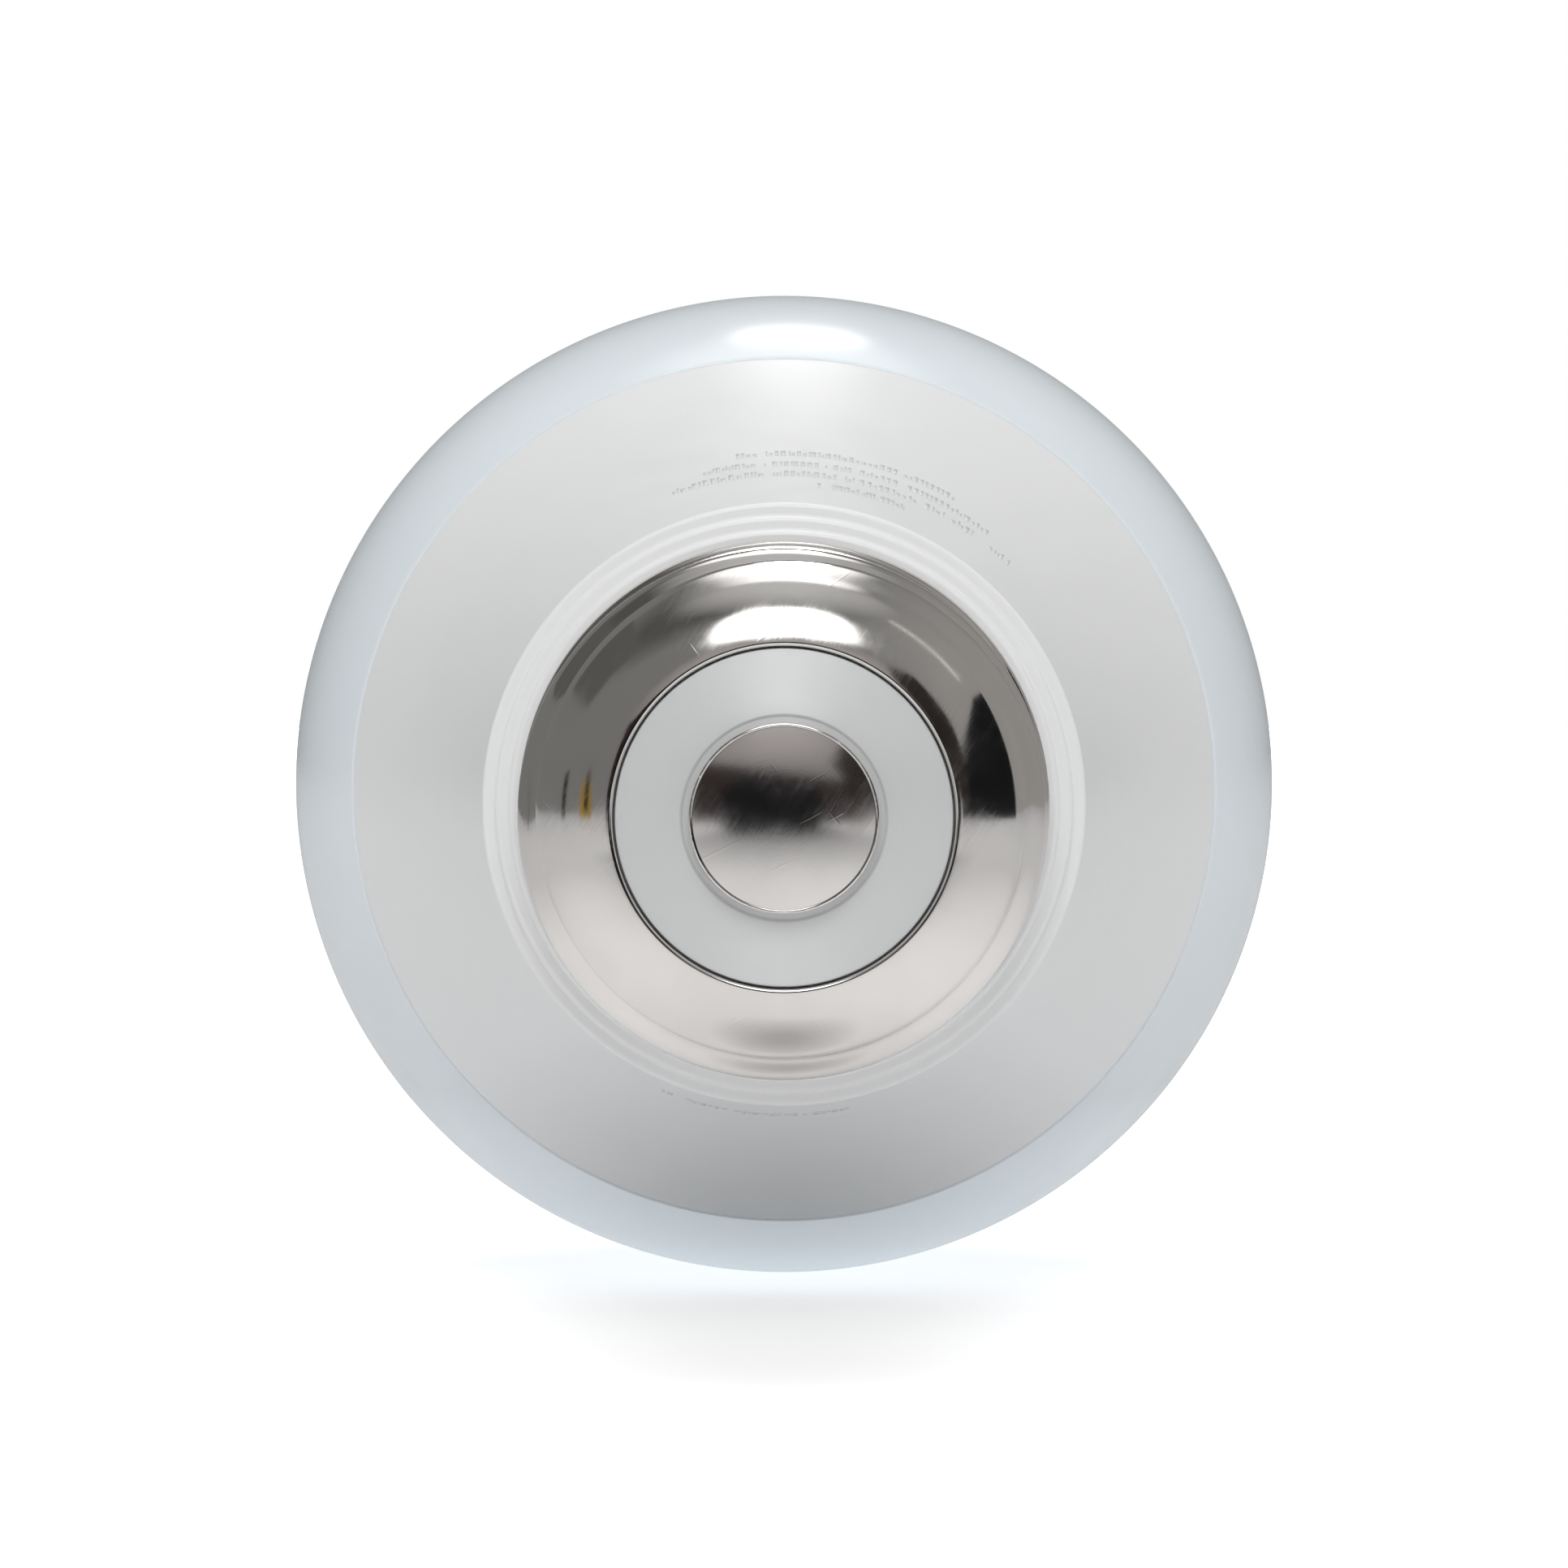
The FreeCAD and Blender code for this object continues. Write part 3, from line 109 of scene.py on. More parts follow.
def rounded(outline: Array, steps: int = 6) -> Array:
    """Rounds the corners of an outline with arcs tangent to both sides.

    An arc touches its sides at rounding / tan(half the corner's angle), and its middle lies on the bisector
    at rounding / sin(half the angle). A point just before and after each arc keeps the flat sides flat in
    shading.

    Args:
        outline: Rows of (radius, place, rounding), taken as a closed loop. An open one ends in rounding 0.
        steps: How many spans an arc has.

    Returns:
        Rows of (radius, place).
    """
    hold_share = 0.35
    points, rounding = outline[:, :2], outline[:, 2]
    back = np.roll(points, 1, 0) - points
    ahead = np.roll(points, -1, 0) - points
    back /= np.linalg.norm(back, axis=1, keepdims=True)
    ahead /= np.linalg.norm(ahead, axis=1, keepdims=True)
    is_round = rounding > 0
    half = 0.5 * np.arccos(np.clip((back * ahead).sum(1), -1, 1))[is_round, None]
    point, size = points[is_round], rounding[is_round, None]
    back, ahead = back[is_round], ahead[is_round]
    bisector = (back + ahead) / np.linalg.norm(back + ahead, axis=1, keepdims=True)
    middle = point + bisector * size / np.sin(half)
    reach = size / np.tan(half)
    first, last = point + back * reach, point + ahead * reach
    sweep = (math.pi - 2 * half)[:, None]
    share = np.linspace(0, 1, steps + 1)[None, :, None]
    arcs = middle[:, None] + (
        np.sin((1 - share) * sweep) * (first - middle)[:, None]
        + np.sin(share * sweep) * (last - middle)[:, None]
    ) / np.sin(sweep)
    holds = (first + back * reach * hold_share)[:, None], (last + ahead * reach * hold_share)[:, None]
    arcs = np.concatenate([holds[0], arcs, holds[1]], axis=1)
    counts = np.where(is_round, steps + 3, 1)
    result = np.repeat(points, counts, axis=0)
    result[np.repeat(is_round, counts)] = arcs.reshape(-1, 2)
    return result


def turned(outline: Array, columns: int) -> Array:
    """Revolves an outline about the bulb's axis: x = radius sin(angle), z = radius cos(angle).

    Args:
        outline: Rows of (radius, place).
        columns: How many columns go round.

    Returns:
        Points of shape (rows, columns, 3).
    """
    angle = np.linspace(0, 2 * math.pi, columns, endpoint=False)
    radius, place = outline[:, :1], outline[:, 1:]
    return np.stack([radius * np.sin(angle), place + 0 * angle, radius * np.cos(angle)], axis=2)


@dataclass(frozen=True)
class Sheet:
    """A grid of points with one face between each four neighbours.

    Attributes:
        points: Millimetre points of shape (rows, columns, 3).
        joins_rows: Whether the last row joins the first.
        joins_columns: Whether the last column joins the first.
    """

    points: Array
    joins_rows: bool = True
    joins_columns: bool = True

    def faces(self) -> NDArray[np.int64]:
        """Gives each face's four vertex numbers, row times the columns plus the column."""
        rows, columns = self.points.shape[:2]
        row = np.arange(rows if self.joins_rows else rows - 1)[:, None]
        column = np.arange(columns if self.joins_columns else columns - 1)[None, :]
        next_row, next_column = (row + 1) % rows, (column + 1) % columns
        ring = [
            row * columns + column,
            row * columns + next_column,
            next_row * columns + next_column,
            next_row * columns + column,
        ]
        return np.stack(np.broadcast_arrays(*ring), axis=2).reshape(-1, 4)


def box_sheets(low: Array, high: Array) -> list[Sheet]:
    """Six faces of each box between matching rows of low and high, each face a sheet of two by two points."""
    sheets = []
    unit = np.array([[(0, 0), (0, 1)], [(1, 0), (1, 1)]], float)
    for axis in range(3):
        for side in (0.0, 1.0):
            share = np.insert(unit, axis, side, axis=2)
            sheets += [Sheet(a + (b - a) * share, False, False) for a, b in zip(low, high)]
    return sheets


def build_piece(
    name: str, sheets: Sequence[Sheet], material: bpy.types.Material, nodes: Sequence[str] = ()
) -> bpy.types.Object:
    """Makes one closed, smooth piece of the bulb out of sheets and lets it ride on the bulb's body.

    Args:
        name: Name of the piece.
        sheets: Grids of points, in millimetres.
        material: Finish of the whole piece.
        nodes: CAD nodes that the piece stands for.

    Returns:
        The new object, at the origin, with its place in its mesh.
    """
    merge_distance = 2e-7
    starts = np.cumsum([0] + [sheet.points.size // 3 for sheet in sheets[:-1]])
    points = np.concatenate([sheet.points.reshape(-1, 3) for sheet in sheets]) * MM
    faces = np.concatenate([sheet.faces() + start for sheet, start in zip(sheets, starts)])
    mesh = bpy.data.meshes.new(name)
    mesh.from_pydata(points.tolist(), [], faces.tolist())
    tidy = bmesh.new()
    tidy.from_mesh(mesh)
    bmesh.ops.remove_doubles(tidy, verts=tidy.verts, dist=merge_distance)
    bmesh.ops.recalc_face_normals(tidy, faces=tidy.faces)
    tidy.to_mesh(mesh)
    tidy.free()
    mesh.polygons.foreach_set("use_smooth", np.ones(len(mesh.polygons), bool))
    mesh.materials.append(material)
    piece = bpy.data.objects.new(name, mesh)
    bpy.context.scene.collection.objects.link(piece)
    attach(piece, BODY)
    if nodes:
        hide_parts(*nodes)
    LOG.info("%s: %d faces", name, len(mesh.polygons))
    return piece


@dataclass(frozen=True)
class Extent:
    """What a CAD node's box says about a turned piece, in millimetres."""

    radius: float
    start: float
    end: float

    @classmethod
    def of(cls, node: str) -> "Extent":
        """Reads the greatest radius and both ends of a node from its box."""
        low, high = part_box(node)
        return cls(radius=high.x / MM, start=low.y / MM, end=high.y / MM)


# ---- finishes ---------------------------------------------------------------------------------------


class Nodes:
    """A node tree to add to. Each method adds what its name says and returns the socket that it gives."""

    def __init__(self, tree: bpy.types.NodeTree) -> None:
        """Starts on a tree that is there already."""
        self.tree = tree

    def add(self, kind: str, inputs: dict | None = None, **settings: object) -> bpy.types.Node:
        """Adds a node.

        Args:
            kind: Blender's name for the node's type.
            inputs: Values or sockets by input name or number.
            settings: Properties of the node.

        Returns:
            The node.
        """
        node = self.tree.nodes.new(kind)
        for name, value in settings.items():
            setattr(node, name, value)
        for name, value in (inputs or {}).items():
            self.feed(node.inputs[name], value)
        return node

    def feed(self, socket: Socket, value: object) -> None:
        """Links a socket to another socket, or sets it to a plain value."""
        if isinstance(value, Socket):
            self.tree.links.new(value, socket)
        else:
            socket.default_value = value

    def noise(self, vector: Socket, detail: float = 2, rough: float = 0.5) -> Socket:
        """Noise with cells of one unit of its vector."""
        inputs = {"Vector": vector, "Scale": 1.0, "Detail": detail, "Roughness": rough}
        return self.add("ShaderNodeTexNoise", inputs).outputs["Fac"]

    def math(self, operation: str, first: object, second: object = 0.0) -> Socket:
        """Arithmetic on one or two numbers."""
        return self.add("ShaderNodeMath", {0: first, 1: second}, operation=operation).outputs[0]

    def span(self, value: object, low: float, high: float, start: float, end: float) -> Socket:
        """Maps a number from low..high to start..end, and stops at both ends."""
        inputs = {"Value": value, "From Min": low, "From Max": high, "To Min": start, "To Max": end}
        return self.add("ShaderNodeMapRange", inputs).outputs["Result"]

    def mix(self, share: object, first: object, second: object) -> Socket:
        """Mixes two colours."""
        node = self.add("ShaderNodeMix", data_type="RGBA")
        colours = [(*c, 1) if isinstance(c, tuple) else c for c in (first, second)]
        for socket, value in zip((node.inputs[0], node.inputs[6], node.inputs[7]), (share, *colours)):
            self.feed(socket, value)
        return node.outputs[2]


class Recipe(Nodes):
    """One material: a Principled shader fed by patterns in the object's own coordinates."""

    def __init__(self, name: str) -> None:
        """Starts a material of that name."""
        self.material = bpy.data.materials.new(name)
        self.material.use_nodes = True
        super().__init__(self.material.node_tree)
        self.shader = self.tree.nodes["Principled BSDF"]
        self.place = self.add("ShaderNodeTexCoord").outputs["Object"]

    def set(self, **values: object) -> None:
        """Sets or links inputs of the shader, with underscores for the spaces in their names."""
        for name, value in values.items():
            self.feed(self.shader.inputs[name.replace("_", " ")], value)

    def sized(self, size: Sequence[float], turn: Sequence[float] = (0, 0, 0)) -> Socket:
        """Coordinates in which a pattern's cell is size millimetres, turned by degrees about each axis."""
        node = self.add(
            "ShaderNodeMapping",
            {
                "Vector": self.place,
                "Rotation": [math.radians(angle) for angle in turn],
                "Scale": [length * MM for length in size],
            },
            vector_type="TEXTURE",
        )
        return node.outputs["Vector"]

    def vector(self, operation: str, first: object, second: object = (0, 0, 0)) -> Socket:
        """Arithmetic on one or two vectors."""
        return self.add("ShaderNodeVectorMath", {0: first, 1: second}, operation=operation).outputs[0]

    def from_axis(self) -> Socket:
        """Vector from the bulb's axis to the point, square to the axis."""
        return self.vector("MULTIPLY", self.place, (1, 0, 1))

    def outward(self) -> Socket:
        """Unit vector from the bulb's axis to the point."""
        return self.vector("NORMALIZE", self.from_axis())

    def ring_place(self, around: float, along: float) -> Socket:
        """Coordinates that follow a turned piece: slow round the axis and fast along its outline.

        The vector is (x / r, z / r) times around, and r plus y over along, with r the distance to the axis.

        Args:
            around: Cells in one radian round the axis.
            along: Millimetres of outline to a cell.

        Returns:
            The vector's socket.
        """
        radius = self.add("ShaderNodeVectorMath", {0: self.from_axis()}, operation="LENGTH").outputs["Value"]
        ring = self.add("ShaderNodeVectorMath", {0: self.outward(), "Scale": around}, operation="SCALE")
        height = self.add("ShaderNodeSeparateXYZ", {0: self.place}).outputs["Y"]
        travel = self.math("MULTIPLY", self.math("ADD", radius, height), 1 / (along * MM))
        lift = self.add("ShaderNodeCombineXYZ", {"Y": travel}).outputs[0]
        return self.vector("ADD", ring.outputs[0], lift)

    def bump(self, height: Socket, depth: float, under: object = None) -> Socket:
        """Bump whose full height is depth millimetres, laid over another bump if one is given."""
        inputs = {"Height": height, "Distance": depth * MM, "Strength": 1.0}
        if under is not None:
            inputs["Normal"] = under
        return self.add("ShaderNodeBump", inputs).outputs["Normal"]


@dataclass(frozen=True)
class PlatedSteel:
    """Bright nickel on drawn sheet: slightly warm, with rolling hairlines, draw rings and a few scratches.

    Attributes:
        name: Name of the material.
        colour: Main colour.
        cloudy: Colour that it wanders to.
        cloud_size: Millimetres to a cell of the colour's wander.
        cloud_levels: Levels of the noise between which the colour turns.
        roughness: Roughness where it is brightest.
        roughest: Roughness where it is most worn.
        patch_size: Millimetres to a patch of wear.
        wear_levels: Levels of the patches between which wear sets in.
        worn_levels: Levels of wear between which the roughness rises.
        least_wear: Share of the hairlines' roughness that an unworn patch keeps.
        relief_levels: Levels of the patches between which the hairlines deepen.
        least_relief: Share of the hairlines' depth that an unworn patch keeps.
        hairline_size: Millimetres to a hairline, across it and twice along.
        hairline_angle: Degrees by which the hairlines are turned.
        hairline_depth: Depth of the hairlines in millimetres.
        rings_around: Cells of the draw rings in one radian round the axis.
        ring_size: Millimetres of outline to a draw ring.
        ring_depth: Depth of the draw rings in millimetres.
        scratch_size: Millimetres to a cell of the scratches' pattern.
        scratch_turns: Degrees about Y and Z by which each layer of scratches is turned.
        scratch_levels: Levels of the noise between which a scratch is cut.
        scratch_depth: Depth of the scratches in millimetres.
    """

    name: str = "bright_nickel_plate"
    colour: Colour = (0.800, 0.775, 0.752)
    cloudy: Colour = (0.755, 0.730, 0.710)
    cloud_size: float = 5.0
    cloud_levels: Span = (0.42, 0.68)
    roughness: float = 0.085
    roughest: float = 0.20
    patch_size: float = 2.4
    wear_levels: Span = (0.4, 0.7)
    worn_levels: Span = (0.2, 0.6)
    least_wear: float = 0.35
    relief_levels: Span = (0.35, 0.7)
    least_relief: float = 0.3
    hairline_size: Place = (0.09, 2.6, 2.6)
    hairline_angle: float = 32.0
    hairline_depth: float = 0.0007
    rings_around: float = 2.5
    ring_size: float = 0.16
    ring_depth: float = 0.0008
    scratch_size: Place = (0.35, 6.0, 4.2)
    scratch_turns: tuple[Span, ...] = ((-38.0, 3.1), (61.0, 7.7))
    scratch_levels: Span = (0.735, 0.775)
    scratch_depth: float = 0.0012

    def scratches(self, recipe: Recipe) -> Socket:
        """Gives 1 in a scratch and 0 beside it: the peaks of long thin cells, in layers turned apart."""
        layers = []
        for turn in self.scratch_turns:
            cell = recipe.sized(self.scratch_size, (0, *turn))
            layers.append(recipe.span(recipe.noise(cell, 1), *self.scratch_levels, 0, 1))
        return recipe.math("MAXIMUM", *layers)

    def material(self) -> bpy.types.Material:
        """Builds the finish as a material."""
        recipe = Recipe(self.name)
        cloud = recipe.noise(recipe.sized((self.cloud_size,) * 3), 3)
        clouded = recipe.span(cloud, *self.cloud_levels, 0, 1)
        hairline = recipe.noise(recipe.sized(self.hairline_size, (0, self.hairline_angle, 0)), 3, 0.6)
        ring = recipe.noise(recipe.ring_place(self.rings_around, self.ring_size), 2)
        patch = recipe.noise(recipe.sized((self.patch_size,) * 3), 4, 0.6)
        worn = recipe.math("MULTIPLY", hairline, recipe.span(patch, *self.wear_levels, self.least_wear, 1))
        depth = recipe.span(patch, *self.relief_levels, self.least_relief, 1)
        fine = recipe.bump(recipe.math("MULTIPLY", hairline, depth), self.hairline_depth)
        ringed = recipe.bump(ring, self.ring_depth, fine)
        recipe.set(
            Metallic=1.0,
            Base_Color=recipe.mix(clouded, self.colour, self.cloudy),
            Roughness=recipe.span(worn, *self.worn_levels, self.roughness, self.roughest),
            Normal=recipe.bump(self.scratches(recipe), self.scratch_depth, ringed),
        )
        return recipe.material


class Grain(Enum):
    """How a surface's relief runs."""

    MOULDED = "moulded"
    DRAWN = "drawn"
    WOVEN = "woven"


@dataclass(frozen=True)
class Finish:
    """A moulded, painted or metal surface with mottled colour, uneven gloss and a fine relief.

    Attributes:
        name: Name of the material.
        colour: Main colour.
        shade: Colour that it wanders to.
        roughness: Roughness where it is glossiest.
        rougher: Roughness where it is dullest.
        metallic: 1 for bare metal.
        mottle: Millimetres to a cell of the colour's wander.
        grain: How the relief runs.
        grain_size: Millimetres to a cell of the relief.
        grain_depth: Depth of the relief in millimetres.
        bleed: Weight of the light that spreads under the surface.
        bleed_reach: Millimetres that it spreads.
        coat: Weight of a clear coat.
        stretch: How far fine turned rings stretch its gloss away from the axis, 0 to 1.
        gloss: Strength of its gloss, 0.5 for plain plastic.
        index: Index of refraction.
    """

    name: str
    colour: Colour
    shade: Colour
    roughness: float = 0.35
    rougher: float = 0.45
    metallic: float = 0.0
    mottle: float = 4.0
    grain: Grain = Grain.MOULDED
    grain_size: float = 0.12
    grain_depth: float = 0.002
    bleed: float = 0.0
    bleed_reach: float = 1.0
    coat: float = 0.0
    stretch: float = 0.0
    gloss: float = 0.5
    index: float = 1.5

    def relief(self, recipe: Recipe) -> Socket:
        """Gives the relief's height: even noise, streaks along the axis or a crossed weave."""
        size = self.grain_size
        drawn_stretch = 30
        if self.grain is Grain.DRAWN:
            return recipe.noise(recipe.sized((size, size * drawn_stretch, size)), 3)
        if self.grain is Grain.WOVEN:
            split = recipe.add("ShaderNodeSeparateXYZ", {0: recipe.sized((size, size, size))})
            warp = recipe.math("SINE", recipe.math("MULTIPLY", split.outputs["X"], math.pi))
            weft = recipe.math("SINE", recipe.math("MULTIPLY", split.outputs["Y"], math.pi))
            return recipe.math("MULTIPLY", warp, weft)
        return recipe.noise(recipe.sized((size, size, size)), 3)

    def paint(self, recipe: Recipe) -> Socket:
        """Gives the colour: the main one wandering to the shade."""
        cloud_levels = (0.35, 0.7)
        cloud = recipe.noise(recipe.sized((self.mottle,) * 3), 4)
        return recipe.mix(recipe.span(cloud, *cloud_levels, 0, 1), self.colour, self.shade)

    def material(self) -> bpy.types.Material:
        """Builds the finish as a material."""
        dull_share, dull_levels = 0.4, (0.35, 0.65)
        warm_bleed = (1.0, 0.9, 0.8)
        recipe = Recipe(self.name)
        relief = self.relief(recipe)
        dull = recipe.noise(recipe.sized((self.mottle * dull_share,) * 3), 3)
        recipe.set(
            Base_Color=self.paint(recipe),
            Metallic=self.metallic,
            Roughness=recipe.span(dull, *dull_levels, self.roughness, self.rougher),
            Specular_IOR_Level=self.gloss,
            IOR=self.index,
            Coat_Weight=self.coat,
            Normal=recipe.bump(relief, self.grain_depth),
        )
        if self.stretch:
            recipe.set(Anisotropic=self.stretch, Tangent=recipe.outward())
        if self.bleed:
            recipe.set(
                Subsurface_Weight=self.bleed,
                Subsurface_Radius=warm_bleed,
                Subsurface_Scale=self.bleed_reach * MM,
            )
        return recipe.material


@dataclass(frozen=True)
class BandedFinish(Finish):
    """A finish with rings of other colours at places along the axis.

    Attributes:
        bands: Each band's start and end along the axis in millimetres, and its colour.
    """

    bands: tuple[tuple[float, float, Colour], ...] = ()

    def paint(self, recipe: Recipe) -> Socket:
        """Gives the base colour with each band laid over it between its two places."""
        colour = super().paint(recipe)
        along = recipe.add("ShaderNodeSeparateXYZ", {0: recipe.place}).outputs["Y"]
        edge = 0.04 * MM
        for start, end, paint in self.bands:
            enters = recipe.span(along, start * MM - edge, start * MM + edge, 0, 1)
            leaves = recipe.span(along, end * MM - edge, end * MM + edge, 1, 0)
            colour = recipe.mix(recipe.math("MULTIPLY", enters, leaves), colour, paint)
        return colour


@dataclass(frozen=True)
class TracedFinish(Finish):
    """Solder mask over copper: raised tracks under the mask, in a lighter tone.

    Attributes:
        track: Colour over the copper.
        track_size: Millimetres to a cell of the tracks' pattern.
        track_unevenness: How far the cells differ, 0 to 1.
        track_edge: Distances from a cell's edge, in cells, between which the copper starts.
    """

    track: Colour = (0.1, 0.4, 0.2)
    track_size: float = 3.2
    track_unevenness: float = 0.55
    track_edge: Span = (0.07, 0.09)

    def paint(self, recipe: Recipe) -> Socket:
        """Gives the mask's colour, lighter where a cell of copper lies under it."""
        vector = recipe.sized((self.track_size,) * 3)
        inputs = {"Vector": vector, "Scale": 1.0, "Randomness": self.track_unevenness}
        cells = recipe.add("ShaderNodeTexVoronoi", inputs, feature="DISTANCE_TO_EDGE", distance="EUCLIDEAN")
        over_copper = recipe.span(cells.outputs["Distance"], *self.track_edge, 0, 1)
        return recipe.mix(over_copper, super().paint(recipe), self.track)


@dataclass(frozen=True)
class OpalPlastic:
    """Milky diffuser plastic: satin and cool white. A painted glow on the side that faces the table stands in
    for light that passes through the dome.

    Attributes:
        name: Name of the material.
        colour: Main colour.
        shade: Colour that it wanders to.
        cloud_size: Millimetres to a cell of the colour's wander.
        roughness: Roughness where it is glossiest.
        rougher: Roughness where it is dullest.
        gloss_size: Millimetres to a cell of the roughness.
        index: Index of refraction.
        bleed: Weight of the light that spreads under the surface.
        bleed_reach: Millimetres that it spreads.
        peel_size: Millimetres to a dimple of the moulded skin.
        orange_peel: Depth of the dimples in millimetres.
        painted_glow_below: Strength of the painted glow on the side that faces the table.
        painted_glow_from: Upward parts of the surface's direction at which that painted glow is full and at
            which it ends.
    """

    name: str = "opal_diffuser_plastic"
    colour: Colour = (0.785, 0.840, 0.878)
    shade: Colour = (0.775, 0.832, 0.872)
    cloud_size: float = 14.0
    roughness: float = 0.18
    rougher: float = 0.19
    gloss_size: float = 3.0
    index: float = 1.58
    bleed: float = 0.25
    bleed_reach: float = 0.6
    peel_size: float = 0.9
    orange_peel: float = 0.0008
    painted_glow_below: float = 0.32
    painted_glow_from: Span = (-0.95, -0.60)

    def material(self) -> bpy.types.Material:
        """Builds the finish as a material."""
        recipe = Recipe(self.name)
        cloud_levels, gloss_levels = (0.35, 0.65), (0.3, 0.7)
        cloud = recipe.noise(recipe.sized((self.cloud_size,) * 3), 2)
        gloss = recipe.noise(recipe.sized((self.gloss_size,) * 3), 4)
        peel = recipe.noise(recipe.sized((self.peel_size,) * 3), 2)
        facing = recipe.add("ShaderNodeNewGeometry").outputs["Normal"]
        upward = recipe.add("ShaderNodeSeparateXYZ", {0: facing}).outputs["Z"]
        recipe.set(
            Base_Color=recipe.mix(recipe.span(cloud, *cloud_levels, 0, 1), self.colour, self.shade),
            Roughness=recipe.span(gloss, *gloss_levels, self.roughness, self.rougher),
            IOR=self.index,
            Subsurface_Weight=self.bleed,
            Subsurface_Radius=(1.0, 1.0, 1.0),
            Subsurface_Scale=self.bleed_reach * MM,
            Normal=recipe.bump(peel, self.orange_peel),
            # Painted glow: the side that faces the table gives off its own light, darker upward.
            Emission_Color=(*self.colour, 1),
            Emission_Strength=recipe.span(upward, *self.painted_glow_from, self.painted_glow_below, 0.0),
        )
        return recipe.material


# ---- the cap ----------------------------------------------------------------------------------------


@dataclass(frozen=True)
class Thread:
    """The rolled Edison thread and the plain run of the shell, as one function of angle and place.

    The shell's envelope is the rounded shoulder and then a cylinder over the crests, and the groove is cut
    into it.

    Attributes:
        crest: Radius over the crests.
        pitch: Crest to crest.
        depth: Crest to root.
        lead: First trace of the groove to the end of the shoulder.
        deepening: Length over which the groove deepens.
        start_angle: Angle in degrees at which a crest meets the end of the shoulder.
        top: Place where the shoulder ends.
        skirt_radius: Radius of the plain skirt.
        skirt_start: Place where the skirt starts.
    """

    crest: float
    pitch: float
    depth: float
    lead: float
    deepening: float
    start_angle: float
    top: float
    skirt_radius: float
    skirt_start: float

    def height(self, turns: Array) -> Array:
        """Height above the root, at a number of turns from a crest.

        Within a quarter turn of a crest it is an arc that bulges out, and elsewhere one that hollows in. Both
        have the radius (depth squared / 4 + pitch squared / 16) / depth, at which they meet in line.
        """
        radius = (self.depth**2 / 4 + self.pitch**2 / 16) / self.depth
        along = np.abs(turns - np.round(turns)) * self.pitch
        bulge = self.depth - radius + np.sqrt(radius**2 - np.minimum(along, self.pitch / 4) ** 2)
        hollow = radius - np.sqrt(radius**2 - np.minimum(self.pitch / 2 - along, self.pitch / 4) ** 2)
        return np.where(along <= self.pitch / 4, bulge, hollow)

    def radius(self, angle: Array, place: Array, envelope: Array) -> Array:
        """Radius of a skin: its envelope, less the groove beside the thread, widening to the skirt."""
        flare = smooth_step((place - (self.skirt_start - self.depth)) / self.depth)
        deepens = smooth_step((place - (self.top - self.lead)) / self.deepening)
        fades = 1 - smooth_step((place - (self.skirt_start - self.pitch)) / (self.pitch / 2))
        turns = (place - self.top) / self.pitch - (angle - math.radians(self.start_angle)) / (2 * math.pi)
        groove = (self.depth - self.height(turns) * fades) * deepens
        return envelope - groove + (self.skirt_radius - self.crest + self.depth) * flare


